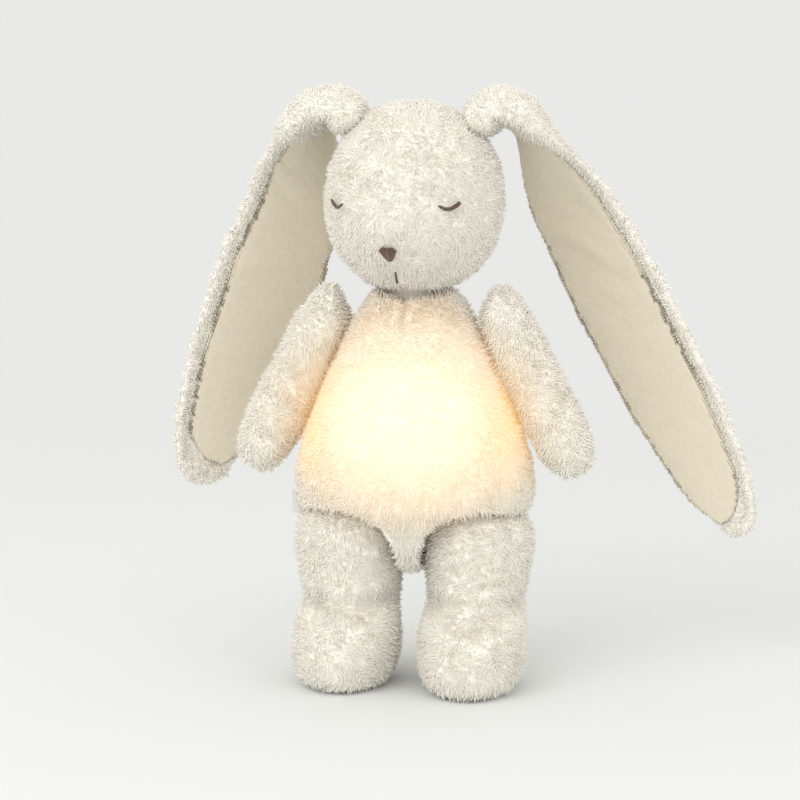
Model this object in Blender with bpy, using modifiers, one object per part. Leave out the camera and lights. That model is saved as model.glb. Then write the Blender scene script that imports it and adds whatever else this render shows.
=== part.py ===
"""Plush rabbit night light: stuffed toy with a light module in a pocket in its back.

Metres, +Z up. The front faces -Y and +X is the viewer's right, which is the toy's left.
"""

from math import cos, pi, radians, sin

import bmesh
import bpy
from mathutils import Matrix, Vector

# Driving sizes of the stuffed body
SOFT_GAP = 0.0003
CUT_OVERRUN = 0.010

TORSO_BOTTOM = 0.070
TORSO_TOP = 0.262
TORSO_HALF_WIDTH = 0.079
TORSO_HALF_DEPTH = 0.051

HEAD_HALF_WIDTH = 0.056
HEAD_HALF_DEPTH = 0.053
HEAD_BOTTOM = 0.2500
HEAD_HEIGHT = 0.120
SNOUT_REACH = 0.020
HEAD_YAW = radians(-7)

NECK_RADIUS = 0.016
HEAD_NOD = radians(12)
HEAD_TURN = radians(8)

SHOULDER_X = 0.046
SHOULDER_Z = 0.232
ARM_RADIUS = 0.0195
ARM_LENGTH = 0.132
ARM_SPLAY = radians(27.5)

HIP_X = 0.041
HIP_Z = 0.088
HIP_RADIUS = 0.0345
LEG_RAISE = radians(60)
LEG_SPARE_ANGLE = radians(9)
LEG_ROOM = 0.060
LEG_ROOM_STEPS = 3
LEG_HALF_WIDTH = 0.033
FOOT_HALF_LENGTH = 0.049
FOOT_FORWARD = 0.020
LEFT_FOOT_STEP = 0.008

EAR_BASE_X = 0.038
EAR_BASE_WIDTH = 0.034
EAR_WIDTH = 0.076
EAR_FUR_THICKNESS = 0.0055
EAR_LINING_THICKNESS = 0.0015
EAR_BEAD_RADIUS = 0.0062
EAR_CLOTH_GAP = 0.00045
EAR_ROLL_RADIUS = 0.020
EAR_SWEEP_BACK = 0.045
LEFT_EAR_LENGTH = 0.328
RIGHT_EAR_LENGTH = 0.284
LEFT_EAR_SPLAY = radians(28)
RIGHT_EAR_SPLAY = radians(20)

TAIL_RADIUS = 0.018
TAIL_SUNK_SHARE = 0.45

# Embroidery and label
STITCH_HEIGHT = 0.0012
NOSE_HALF_WIDTH = 0.006
EYE_HALF_WIDTH = 0.0038
EYE_SAG = 0.0022
THREAD_RADIUS = 0.0008
MOUTH_LENGTH = 0.010
LABEL_WIDTH = 0.009
LABEL_HEIGHT = 0.015
LABEL_THICKNESS = 0.0012
LABEL_ABOVE_HIP = 0.024

# Pocket and flap
MODULE_RADIUS = 0.042
MODULE_CLEARANCE = 0.001
POCKET_Z = 0.165
LINER_WALL = 0.001
LINER_RADIUS = MODULE_RADIUS + MODULE_CLEARANCE + LINER_WALL
FLAP_BESIDE = 0.002
FLAP_OVER = 0.0025
FLAP_TAB = 0.0175
FLAP_WIDTH = 2 * (LINER_RADIUS + FLAP_BESIDE)
FLAP_THICKNESS = 0.004
FLAP_ABOVE = LINER_RADIUS + FLAP_OVER
FLAP_BELOW = LINER_RADIUS + FLAP_TAB
FLAP_CORNER = 0.012
STRIP_WIDTH = 0.050
STRIP_HEIGHT = 0.011
STRIP_THICKNESS = 0.001
POCKET_MOUTH_Y = 0.040

# Light module. Its shares are of the module's radius
MODULE_DEPTH_SHARE = 20 / 21
DIFFUSER_DEPTH_SHARE = 8 / 21
SCREW_LENGTH_SHARE = 8 / 21
LED_RING_SHARE = 3 / 7
BATTERY_LENGTH_SHARE = 65 / 42
BATTERY_DROP_SHARE = 5 / 21
SPEAKER_RADIUS_SHARE = 17 / 42
SPEAKER_RISE_SHARE = 41 / 84
CONE_DEPTH_SHARE = 2 / 21
MAGNET_RADIUS_SHARE = 3 / 14
MAGNET_DEPTH_SHARE = 5 / 42
GRILLE_PITCH_SHARE = 3 / 28
BUTTON_RADIUS_SHARE = 3 / 28
BUTTON_PITCH_SHARE = 5 / 14
BUTTON_DROP_SHARE = 2 / 3
SLIDER_X_SHARE = 53 / 84
SLIDER_Z_SHARE = 2 / 7

MODULE_DEPTH = MODULE_RADIUS * MODULE_DEPTH_SHARE
DIFFUSER_DEPTH = MODULE_RADIUS * DIFFUSER_DEPTH_SHARE
DIFFUSER_WALL = 0.0015
HOUSING_WALL = 0.002
PLASTIC_GAP = 0.0003
BOARD_THICKNESS = 0.0016
LED_SIZE = 0.005
LED_HEIGHT = 0.0016
LED_RING_RADIUS = MODULE_RADIUS * LED_RING_SHARE
SCREW_RADIUS = 0.0012
SCREW_HEAD_RADIUS = 0.0024
BOSS_WALL = 0.0009
BOSS_RADIUS = SCREW_HEAD_RADIUS + PLASTIC_GAP + BOSS_WALL
BOSS_INSET = 0.0002
BOSS_RING_RADIUS = MODULE_RADIUS - HOUSING_WALL - BOSS_RADIUS - BOSS_INSET
SCREW_HEAD_HEIGHT = 0.0016
SCREW_LENGTH = MODULE_RADIUS * SCREW_LENGTH_SHARE
SCREW_BITE = 0.003
PAD_THICKNESS = 0.0012
CELL_ROOM = MODULE_DEPTH - DIFFUSER_DEPTH - HOUSING_WALL - BOARD_THICKNESS - 4 * PLASTIC_GAP
BATTERY_RADIUS = (CELL_ROOM - PAD_THICKNESS) / 2
BATTERY_LENGTH = MODULE_RADIUS * BATTERY_LENGTH_SHARE
BATTERY_DROP = MODULE_RADIUS * BATTERY_DROP_SHARE
SPEAKER_RADIUS = MODULE_RADIUS * SPEAKER_RADIUS_SHARE
SPEAKER_RISE = MODULE_RADIUS * SPEAKER_RISE_SHARE
SPEAKER_RIM = 0.0015
SPEAKER_CONE_DEPTH = MODULE_RADIUS * CONE_DEPTH_SHARE
MAGNET_RADIUS = MODULE_RADIUS * MAGNET_RADIUS_SHARE
MAGNET_DEPTH = MODULE_RADIUS * MAGNET_DEPTH_SHARE
GRILLE_HOLE_RADIUS = 0.0012
GRILLE_PITCH = MODULE_RADIUS * GRILLE_PITCH_SHARE
GRILLE_TURN = radians(7)
# Keeps the edges of the housing's back wall off the middles of its holes
HOUSING_TURN = radians(2)
BUTTON_RADIUS = MODULE_RADIUS * BUTTON_RADIUS_SHARE
BUTTON_FLANGE = 0.0012
BUTTON_PROUD = 0.0015
BUTTON_TRAVEL = 0.001
BUTTON_PITCH = MODULE_RADIUS * BUTTON_PITCH_SHARE
BUTTON_DROP = MODULE_RADIUS * BUTTON_DROP_SHARE
SLIDER_X = MODULE_RADIUS * SLIDER_X_SHARE
SLIDER_Z = MODULE_RADIUS * SLIDER_Z_SHARE
SLIDER_SIZE = 0.004
SLIDER_TRAVEL = 0.003
SOCKET_WIDTH = 0.009
SOCKET_HEIGHT = 0.0032
SOCKET_DEPTH = 0.0075
SOCKET_WALL = 0.0005
LEAD_RADIUS = 0.0008
LEAD_BEND = 0.0055
LEAD_END_SHARE = 0.62

MERGE_DISTANCE = 0.00001

# Places in the pocket, from its floor to the flap
MODULE_FRONT_Y = POCKET_MOUTH_Y - MODULE_DEPTH - BUTTON_PROUD - SOFT_GAP
STRIP_Y = POCKET_MOUTH_Y + SOFT_GAP
FLAP_Y = STRIP_Y + 2 * STRIP_THICKNESS + 2 * SOFT_GAP
SIDES = {"right": -1, "left": 1}


def clear_scene():
    for obj in list(bpy.data.objects):
        bpy.data.objects.remove(obj, do_unlink=True)


def new_collection(name, hidden=False):
    made = bpy.data.collections.new(name)
    made.hide_render = hidden
    bpy.context.scene.collection.children.link(made)
    return made


def material(name, colour, roughness, metallic=0.0):
    made = bpy.data.materials.new(name)
    made.use_nodes = True
    shader = made.node_tree.nodes["Principled BSDF"]
    shader.inputs["Base Color"].default_value = (*colour, 1.0)
    shader.inputs["Roughness"].default_value = roughness
    shader.inputs["Metallic"].default_value = metallic
    made.diffuse_color = (*colour, 1.0)
    return made


class Kit:
    """The two collections and the materials that every builder function uses."""

    def __init__(self):
        self.parts = new_collection("plush_night_light")
        self.cutters = new_collection("cutters", hidden=True)
        self.fur = material("cream_fur", (0.86, 0.82, 0.74), 0.95)
        self.lining = material("ear_cloth", (0.70, 0.60, 0.46), 0.9)
        self.thread = material("brown_thread", (0.12, 0.07, 0.05), 0.7)
        self.cloth = material("pocket_cloth", (0.80, 0.76, 0.68), 0.9)
        self.white_plastic = material("white_plastic", (0.88, 0.88, 0.86), 0.4)
        self.diffuser = material("diffuser_plastic", (0.95, 0.90, 0.78), 0.5)
        self.board = material("board_green", (0.03, 0.22, 0.09), 0.5)
        self.steel = material("steel", (0.6, 0.6, 0.6), 0.3, 1.0)
        self.black = material("black_plastic", (0.03, 0.03, 0.03), 0.5)
        self.foam = material("grey_foam", (0.25, 0.25, 0.25), 0.95)
        self.led = material("led_cover", (0.98, 0.85, 0.40), 0.3)
        self.red = material("red_cover", (0.5, 0.04, 0.03), 0.5)

    def add(self, name, mesh, finish, smooth=True):
        obj = bpy.data.objects.new(name, mesh)
        self.parts.objects.link(obj)
        if finish:
            mesh.materials.append(finish)
        if smooth:
            mesh.shade_smooth()
            mesh.set_sharp_from_angle(angle=radians(40))
        return obj

    def cutter(self, name, mesh):
        obj = bpy.data.objects.new(name, mesh)
        obj.display_type = "WIRE"
        obj.hide_render = True
        self.cutters.objects.link(obj)
        return obj


def mesh_of(name, build):
    """A mesh whose faces are made by build, a function that fills a bmesh."""
    made = bmesh.new()
    build(made)
    bmesh.ops.recalc_face_normals(made, faces=made.faces)
    mesh = bpy.data.meshes.new(name)
    made.to_mesh(mesh)
    made.free()
    return mesh


def box_mesh(name, size, centre):
    def build(made):
        bmesh.ops.create_cube(made, size=1)
        bmesh.ops.scale(made, vec=Vector(size), verts=made.verts)
        bmesh.ops.translate(made, vec=Vector(centre), verts=made.verts)

    return mesh_of(name, build)


def rod_mesh(name, radius, start, end, sides=24, end_radius=None):
    """A cylinder or cone from the point start to the point end."""
    start = Vector(start)
    end = Vector(end)
    turn = (end - start).to_track_quat("Z", "Y").to_matrix().to_4x4()
    place = Matrix.Translation((start + end) / 2) @ turn

    def build(made):
        bmesh.ops.create_cone(
            made,
            cap_ends=True,
            segments=sides,
            radius1=radius,
            radius2=radius if end_radius is None else end_radius,
            depth=(end - start).length,
            matrix=place,
        )

    return mesh_of(name, build)


def ball_mesh(name, radius, centre, across=24, up=12):
    def build(made):
        bmesh.ops.create_uvsphere(
            made,
            u_segments=across,
            v_segments=up,
            radius=radius,
            matrix=Matrix.Translation(Vector(centre)),
        )

    return mesh_of(name, build)


def boolean(obj, cutter, operation="DIFFERENCE"):
    cut = obj.modifiers.new(f"{operation.lower()}_{cutter.name}", "BOOLEAN")
    cut.operation = operation
    cut.solver = "EXACT"
    cut.object = cutter
    return cut


def bake(obj):
    """Turns the object's modifiers into its own mesh, so that others can be cut by it."""
    graph = bpy.context.evaluated_depsgraph_get()
    mesh = bpy.data.meshes.new_from_object(obj.evaluated_get(graph))
    obj.modifiers.clear()
    obj.data = mesh
    return obj


def grown(kit, obj, gap):
    """A cutter of the object's shape, grown by gap on every side."""

    def build(made):
        made.from_mesh(obj.data)
        made.normal_update()
        moves = [vert.normal * gap for vert in made.verts]
        for vert, move in zip(made.verts, moves):
            vert.co += move

    cutter = kit.cutter(f"{obj.name}_grown", mesh_of("grown", build))
    bpy.context.view_layer.update()
    return cutter


def subdivide(obj, levels):
    smooth = obj.modifiers.new("smooth_form", "SUBSURF")
    smooth.levels = levels
    smooth.render_levels = levels
    return smooth


def ring_cage(name, rings, sides):
    """A closed cage through rings, each a list of points, with a pole at each end."""

    def build(made):
        loops = [[made.verts.new(point) for point in ring] for ring in rings]
        for low, high in zip(loops, loops[1:]):
            for n in range(sides):
                m = (n + 1) % sides
                made.faces.new((low[n], low[m], high[m], high[n]))
        made.faces.new(loops[0])
        made.faces.new(loops[-1])
        bmesh.ops.poke(made, faces=[face for face in made.faces if len(face.verts) > 4])

    return mesh_of(name, build)


def oval(centre, half_width, half_depth, sides, tilt=0.0):
    """A level oval ring. A tilt turns it about X through its centre."""
    turn = Matrix.Rotation(tilt, 3, "X")
    ring = []
    for n in range(sides):
        angle = 2 * pi * n / sides
        offset = Vector((half_width * cos(angle), half_depth * sin(angle), 0))
        ring.append(Vector(centre) + turn @ offset)
    return ring


def turned(kit, name, profile, sides, place):
    """A mesh turned about Z from (radius, height) points, then moved by the matrix place."""
    mesh = bpy.data.meshes.new(name)
    edges = [(n, n + 1) for n in range(len(profile) - 1)]
    if profile[0][0] and profile[-1][0]:
        edges.append((len(profile) - 1, 0))
    mesh.from_pydata([(radius, 0, height) for radius, height in profile], edges, [])
    guide = kit.cutter(f"{name}_profile", mesh)
    screw = guide.modifiers.new("turn", "SCREW")
    screw.steps = sides
    screw.render_steps = sides
    screw.use_merge_vertices = True
    screw.merge_threshold = MERGE_DISTANCE
    graph = bpy.context.evaluated_depsgraph_get()
    solid = bpy.data.meshes.new_from_object(guide.evaluated_get(graph))
    bpy.data.objects.remove(guide)

    def build(made):
        made.from_mesh(solid)
        bmesh.ops.transform(made, matrix=place, verts=made.verts)

    return mesh_of(name, build)


# Shares of the torso's height, half width and half depth, from the crotch up
TORSO_SHARES = (
    (0.00, 0.36, 0.42),
    (0.07, 0.78, 0.80),
    (0.22, 1.03, 1.02),
    (0.40, 0.99, 1.06),
    (0.60, 0.80, 0.98),
    (0.80, 0.57, 0.78),
    (0.94, 0.38, 0.56),
    (1.00, 0.22, 0.30),
)
TORSO_SIDES = 16


def make_torso(kit, head):
    height = TORSO_TOP - TORSO_BOTTOM
    rings = [
        oval(
            (0, 0, TORSO_BOTTOM + up * height),
            wide * TORSO_HALF_WIDTH,
            deep * TORSO_HALF_DEPTH,
            TORSO_SIDES,
        )
        for up, wide, deep in TORSO_SHARES
    ]
    torso = kit.add("torso", ring_cage("torso", rings, TORSO_SIDES), kit.fur)
    subdivide(torso, 1)
    bake(torso)
    sides = side_profile(torso)
    cutters = head_room(kit, head)
    cutters.append(kit.cutter("neck_seat", neck_ball("neck_seat", NECK_RADIUS + SOFT_GAP)))
    for side, sign in SIDES.items():
        cutters.append(kit.cutter(f"leg_room_{side}", leg_room(sign)))
    back = TORSO_HALF_DEPTH + CUT_OVERRUN
    floor = MODULE_FRONT_Y - LINER_WALL - 2 * SOFT_GAP
    pocket = rod_mesh(
        "pocket", LINER_RADIUS + SOFT_GAP, (0, floor, POCKET_Z), (0, back, POCKET_Z), 32
    )
    cutters.append(kit.cutter("pocket", pocket))
    low = POCKET_Z - FLAP_BELOW - SOFT_GAP
    high = POCKET_Z + FLAP_ABOVE + FLAP_THICKNESS + SOFT_GAP
    recess = box_mesh(
        "flap_recess",
        (FLAP_WIDTH + 2 * SOFT_GAP, back - POCKET_MOUTH_Y, high - low),
        (0, (back + POCKET_MOUTH_Y) / 2, (high + low) / 2),
    )
    cutters.append(kit.cutter("flap_recess", recess))
    for cutter in cutters:
        boolean(torso, cutter)
    return bake(torso), sides


def leg_room(sign):
    """The hull of a ball at the hip and of balls down the leg's way from rest to its limit."""
    centre = Vector(hip(sign))
    ends = [centre]
    for n in range(LEG_ROOM_STEPS + 1):
        angle = (LEG_RAISE + LEG_SPARE_ANGLE) * n / LEG_ROOM_STEPS
        ends.append(centre - LEG_ROOM * Vector((0, sin(angle), cos(angle))))

    def build(made):
        for end in ends:
            ball = ball_mesh("leg_room_ball", HIP_RADIUS + SOFT_GAP, end, across=20, up=12)
            for vert in ball.vertices:
                made.verts.new(vert.co)
        bmesh.ops.convex_hull(made, input=made.verts)
        loose = [vert for vert in made.verts if not vert.link_faces]
        bmesh.ops.delete(made, geom=loose, context="VERTS")

    return mesh_of("leg_room", build)


def side_profile(torso):
    """The torso's half width below the shoulder, as (distance, half width) points."""
    reach = SHOULDER_Z - TORSO_BOTTOM
    steps = len(TORSO_SHARES) * 2
    points = []
    for n in range(steps):
        below = reach * n / steps
        start = Vector((2 * TORSO_HALF_WIDTH, 0, SHOULDER_Z - below))
        _, place, _, _ = torso.ray_cast(start, Vector((-1, 0, 0)))
        points.append((below, place.x))
    return points


def neck_ball(name, radius):
    return ball_mesh(name, radius, (0, 0, HEAD_BOTTOM), across=24, up=16)


def make_neck(kit):
    kit.add("neck", neck_ball("neck", NECK_RADIUS), kit.cloth)


def head_room(kit, head):
    """Cutters of the head's shape in each pose that comes nearest to the torso."""
    centre = Matrix.Translation((0, 0, HEAD_BOTTOM))
    cutters = []
    for nod, turn in ((0, 0), (0.5, 0), (1, 0), (1, 1), (1, -1)):
        room = grown(kit, head, 2 * SOFT_GAP)
        room.name = f"head_room_{len(cutters)}"
        nodded = Matrix.Rotation(nod * HEAD_NOD, 4, "X")
        turned_head = Matrix.Rotation(turn * HEAD_TURN, 4, "Z")
        room.data.transform(centre @ turned_head @ nodded @ centre.inverted())
        cutters.append(room)
    return cutters


# Shares of the head's height, half width, half depth and snout reach, from the chin up
HEAD_SHARES = (
    (0.000, 0.26, 0.27, 0.00),
    (0.045, 0.58, 0.58, 0.05),
    (0.180, 0.90, 0.90, 0.62),
    (0.360, 1.05, 1.03, 1.00),
    (0.580, 1.06, 1.06, 0.42),
    (0.800, 0.90, 0.94, 0.05),
    (0.950, 0.55, 0.58, 0.00),
    (1.000, 0.26, 0.28, 0.00),
)
HEAD_SIDES = 16
SNOUT_SHARPNESS = 3


def make_head(kit):
    rings = []
    for up, wide, deep, snout in HEAD_SHARES:
        centre = Vector((0, 0, HEAD_BOTTOM + up * HEAD_HEIGHT))
        ring = oval(centre, wide * HEAD_HALF_WIDTH, deep * HEAD_HALF_DEPTH, HEAD_SIDES)
        for point in ring:
            ahead = max(0.0, -(point - centre).normalized().y)
            point.y -= snout * SNOUT_REACH * ahead**SNOUT_SHARPNESS
        rings.append([Matrix.Rotation(HEAD_YAW, 3, "Z") @ point for point in ring])
    head = kit.add("head", ring_cage("head", rings, HEAD_SIDES), kit.fur)
    subdivide(head, 1)
    return bake(head)


def seat_head(kit, head):
    """Hollows the head's underside round the neck, once the torso has been cut by the head."""
    boolean(head, kit.cutter("head_seat", neck_ball("head_seat", NECK_RADIUS + SOFT_GAP)))
    return bake(head)


# Shares of a limb's length and radius, from the shoulder to the paw
ARM_SHARES = (
    (0.00, 0.50),
    (0.05, 0.86),
    (0.16, 1.03),
    (0.45, 1.03),
    (0.80, 1.06),
    (0.95, 0.82),
    (1.00, 0.45),
)
ARM_SIDES = 12


def make_arm(kit, sides, side, sign):
    turn = Matrix.Rotation(sign * -ARM_SPLAY, 3, "Y")
    start = Vector((sign * SHOULDER_X, 0, SHOULDER_Z + ARM_RADIUS))
    rings = []
    for along, wide in ARM_SHARES:
        ring = oval((0, 0, -along * ARM_LENGTH), wide * ARM_RADIUS, wide * ARM_RADIUS, ARM_SIDES)
        rings.append([start + turn @ point for point in ring])
    arm = kit.add(f"arm_{side}", ring_cage("arm", rings, ARM_SIDES), kit.fur)
    subdivide(arm, 1)
    boolean(arm, kit.cutter(f"arm_clearance_{side}", arm_clearance(kit, sides, sign)))
    return arm


def arm_clearance(kit, sides, sign):
    """A turned solid about the shoulder's axis that holds the torso's side at every angle."""
    far = sides[-1][0]
    profile = [(0, -CUT_OVERRUN), (far, -CUT_OVERRUN)]
    profile += [(below, half + 2 * SOFT_GAP) for below, half in reversed(sides)]
    place = Matrix.Translation((0, 0, SHOULDER_Z)) @ Matrix.Rotation(sign * pi / 2, 4, "Y")
    return turned(kit, "arm_clearance", profile, 48, place)


# Shares of the leg's height, the half width, the half depth and the step forward
LEG_SHARES = (
    (0.00, 0.66, 0.74, 1.00),
    (0.05, 0.98, 1.02, 1.00),
    (0.24, 1.10, 1.06, 1.00),
    (0.46, 1.07, 0.93, 0.82),
    (0.62, 0.98, 0.72, 0.10),
)
BALL_ANGLES_SHARE = (0.0, 0.3, 0.6, 0.82)
LEG_SIDES = 12
SOLE_TRIM = 0.0015


def make_leg(kit, side, sign):
    step = FOOT_FORWARD + (LEFT_FOOT_STEP if side == "left" else 0)
    rings = []
    for up, wide, deep, ahead in LEG_SHARES:
        centre = (sign * HIP_X, -step * ahead, up * (HIP_Z + SOLE_TRIM) - SOLE_TRIM)
        rings.append(oval(centre, wide * LEG_HALF_WIDTH, deep * FOOT_HALF_LENGTH, LEG_SIDES))
    for share in BALL_ANGLES_SHARE:
        angle = share * pi / 2
        centre = (sign * HIP_X, 0, HIP_Z + HIP_RADIUS * sin(angle))
        rings.append(oval(centre, HIP_RADIUS * cos(angle), HIP_RADIUS * cos(angle), LEG_SIDES))
    leg = kit.add(f"leg_{side}", ring_cage("leg", rings, LEG_SIDES), kit.fur)
    subdivide(leg, 1)
    width = 4 * LEG_HALF_WIDTH
    length = 4 * FOOT_HALF_LENGTH
    below = box_mesh("sole_trim", (width, length, CUT_OVERRUN), (sign * HIP_X, 0, -CUT_OVERRUN / 2))
    boolean(leg, kit.cutter(f"sole_trim_{side}", below))
    between = box_mesh(
        "leg_parting",
        (CUT_OVERRUN, length, HIP_Z + HIP_RADIUS),
        (sign * (SOFT_GAP - CUT_OVERRUN) / 2, 0, (HIP_Z + HIP_RADIUS) / 2),
    )
    boolean(leg, kit.cutter(f"leg_parting_{side}", between))
    return leg


def make_tail(kit, torso):
    under_flap = POCKET_Z - FLAP_BELOW - 4 * SOFT_GAP
    centre = (0, TORSO_HALF_DEPTH - TAIL_RADIUS * TAIL_SUNK_SHARE, under_flap - TAIL_RADIUS)
    tail = kit.add("tail", ball_mesh("tail", TAIL_RADIUS, centre, 16, 10), kit.fur)
    boolean(tail, torso)



EAR_RINGS = 30
EAR_SECTION_SHARES = ((-1, 0.15), (-0.75, 0.8), (-0.3, 1), (0.3, 1), (0.75, 0.8), (1, 0.15))
# Shares of the ear's length, and of its width or thickness
EAR_WIDTH_SHARES = (
    (0.0, 0.46), (0.15, 0.76), (0.45, 1.0), (0.70, 0.97), (0.88, 0.76), (0.96, 0.50), (1.0, 0.18)
)
EAR_THICKNESS_SHARES = ((0.0, 1.4), (0.10, 1.6), (0.20, 1.3), (0.35, 1.0), (1.0, 1.0))
EAR_START_ANGLE = radians(112)
EAR_TWIST = radians(58)
EAR_TWIST_SHARE = 0.28
EAR_SWEEP_SHARE = 0.34
EAR_BASE_Y = 0.004
LINING_START = EAR_BEAD_RADIUS + 0.0045
LINING_INSET = 0.010
LINING_INSET_SHARE = 0.5
LINING_SHIFT = 0.0035


def share_at(table, share):
    for low, high in zip(table, table[1:]):
        if share <= high[0]:
            along = (share - low[0]) / (high[0] - low[0])
            return low[1] + along * (high[1] - low[1])
    return table[-1][1]


def ease(share):
    share = min(1.0, max(0.0, share))
    return share * share * (3 - 2 * share)


def ear_frames(base, sign, length, splay):
    """Centre, width direction and outward normal at even steps from the base to the tip."""
    steps = EAR_RINGS * 4
    point = Vector(base)
    frames = []
    for n in range(steps + 1):
        along = n / steps
        roll = min(1.0, along * length / (EAR_ROLL_RADIUS * (EAR_START_ANGLE - splay)))
        angle = EAR_START_ANGLE + (splay - EAR_START_ANGLE) * ease(roll)
        ahead = Vector((sign * sin(angle), 0, -cos(angle)))
        out = Vector((sign * cos(angle), 0, sin(angle)))
        twist = EAR_TWIST * ease(along / EAR_TWIST_SHARE)
        across = Vector((0, -cos(twist), 0)) + out * sin(twist)
        normal = out * cos(twist) + Vector((0, sin(twist), 0))
        centre = point + Vector((0, EAR_SWEEP_BACK * ease(along / EAR_SWEEP_SHARE), 0))
        frames.append((along, centre, across, normal))
        point = point + ahead * length / steps
    return frames


def ear_plate(name, frames, length, start, inset, offset, thickness, shift=0.0):
    """A long pillow on one side of the ear's middle surface, from start to inset from the tip.

    A shift moves it towards the ear's inner edge.
    """
    kept = [f for f in frames if start <= f[0] * length <= length - inset][:: 4]
    rings = []
    for along, middle, across, normal in kept:
        centre = middle - across * shift
        half = EAR_WIDTH * share_at(EAR_WIDTH_SHARES, along) / 2 - inset * LINING_INSET_SHARE
        thick = thickness * share_at(EAR_THICKNESS_SHARES, along)
        near = [centre + across * t * half + normal * offset for t, _ in EAR_SECTION_SHARES]
        far = [
            centre + across * t * half + normal * (offset + thick * high)
            for t, high in reversed(EAR_SECTION_SHARES)
        ]
        rings.append(near + far)
    return ring_cage(name, rings, len(EAR_SECTION_SHARES) * 2)


def on_head(head, origin, direction):
    """Where a straight line meets the head, and the head's normal there."""
    hit, place, normal, _ = head.ray_cast(Vector(origin), Vector(direction))
    return place, normal


def make_ear(kit, head, side, sign):
    length = LEFT_EAR_LENGTH if side == "left" else RIGHT_EAR_LENGTH
    splay = LEFT_EAR_SPLAY if side == "left" else RIGHT_EAR_SPLAY
    above = (sign * EAR_BASE_X, EAR_BASE_Y, HEAD_BOTTOM + 2 * HEAD_HEIGHT)
    place, normal = on_head(head, above, (0, 0, -1))
    axis = place + normal * (EAR_BEAD_RADIUS + 2 * SOFT_GAP)
    frames = ear_frames(axis, sign, length, splay)
    fur = ear_plate("ear_back", frames, length, 0, 0, EAR_CLOTH_GAP, EAR_FUR_THICKNESS)
    back = kit.add(f"ear_back_{side}", fur, kit.fur)
    half = Vector((0, EAR_BASE_WIDTH / 2, 0))
    bead = rod_mesh("ear_bead", EAR_BEAD_RADIUS, axis - half, axis + half, 16)
    boolean(back, kit.cutter(f"ear_bead_{side}", bead), "UNION")
    cloth = ear_plate(
        "ear_lining",
        frames,
        length,
        LINING_START,
        LINING_INSET,
        -EAR_CLOTH_GAP,
        -EAR_LINING_THICKNESS,
        LINING_SHIFT,
    )
    kit.add(f"ear_lining_{side}", cloth, kit.lining)
    return axis


def facing(x, z):
    """A start and direction of sight, square to the turned face, for a place on the face."""
    turn = Matrix.Rotation(HEAD_YAW, 3, "Z")
    return turn @ Vector((x, -HEAD_HEIGHT, z)), turn @ Vector((0, 1, 0))


NOSE_HEIGHT = 0.029
NOSE_SIDES = 12
NOSE_SHARE = 0.72
MOUTH_TOP = 0.0155
MOUTH_LEAN = 0.0012
EYE_X = 0.034
EYE_Z = 0.0585
EYE_POINTS = 7


def make_nose(kit, head):
    rings = []
    for lift, size in ((0, 1), (STITCH_HEIGHT, 0.9)):
        ring = []
        for n in range(NOSE_SIDES):
            angle = 2 * pi * n / NOSE_SIDES
            narrow = 1 - (1 - NOSE_SHARE) * (0.5 - sin(angle) / 2)
            x = NOSE_HALF_WIDTH * size * cos(angle) * narrow
            z = HEAD_BOTTOM + NOSE_HEIGHT + NOSE_HALF_WIDTH * NOSE_SHARE * size * sin(angle)
            place, normal = on_head(head, *facing(x, z))
            ring.append(place + normal * (2 * SOFT_GAP + lift))
        rings.append(ring)
    nose = kit.add("nose", ring_cage("nose", rings, NOSE_SIDES), kit.thread)
    boolean(nose, head)


def thread(kit, name, points):
    curve = bpy.data.curves.new(name, "CURVE")
    curve.dimensions = "3D"
    curve.bevel_depth = THREAD_RADIUS
    curve.bevel_resolution = 2
    curve.use_fill_caps = True
    line = curve.splines.new("POLY")
    line.points.add(len(points) - 1)
    for made, point in zip(line.points, points):
        made.co = (*point, 1)
    curve.materials.append(kit.thread)
    obj = bpy.data.objects.new(name, curve)
    kit.parts.objects.link(obj)
    return obj


def stitched(kit, head, name, places):
    points = []
    for x, z in places:
        place, normal = on_head(head, *facing(x, z))
        points.append(place + normal * (THREAD_RADIUS + 2 * SOFT_GAP))
    return thread(kit, name, points)


def make_face(kit, head):
    make_nose(kit, head)
    top = HEAD_BOTTOM + MOUTH_TOP
    stitched(kit, head, "mouth", [(0, top), (MOUTH_LEAN / 2, top - MOUTH_LENGTH / 2),
                                  (MOUTH_LEAN, top - MOUTH_LENGTH)])
    for side, sign in SIDES.items():
        arc = []
        for n in range(EYE_POINTS):
            across = 2 * n / (EYE_POINTS - 1) - 1
            x = sign * (EYE_X + across * EYE_HALF_WIDTH)
            arc.append((x, HEAD_BOTTOM + EYE_Z - EYE_SAG * (1 - across * across)))
        stitched(kit, head, f"eye_{side}", arc)


def make_label(kit, torso, z):
    _, place, _, _ = torso.ray_cast(Vector((-2 * TORSO_HALF_WIDTH, 0, z)), Vector((1, 0, 0)))
    size = (LABEL_WIDTH, LABEL_THICKNESS, LABEL_HEIGHT)
    mesh = box_mesh("side_label", size, (place.x, 0, z))
    label = kit.add("side_label", mesh, kit.cloth, smooth=False)
    boolean(label, torso)


def rounded_slab(name, width, height, depth, corner, centre):
    def build(made):
        bmesh.ops.create_cube(made, size=1)
        bmesh.ops.scale(made, vec=Vector((width, depth, height)), verts=made.verts)
        along = [e for e in made.edges if abs(e.verts[0].co.y - e.verts[1].co.y) > depth / 2]
        bmesh.ops.bevel(
            made, geom=along, offset=corner, offset_type="OFFSET", segments=4, profile=0.5,
            affect="EDGES",
        )
        bmesh.ops.translate(made, vec=Vector(centre), verts=made.verts)

    return mesh_of(name, build)


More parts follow.
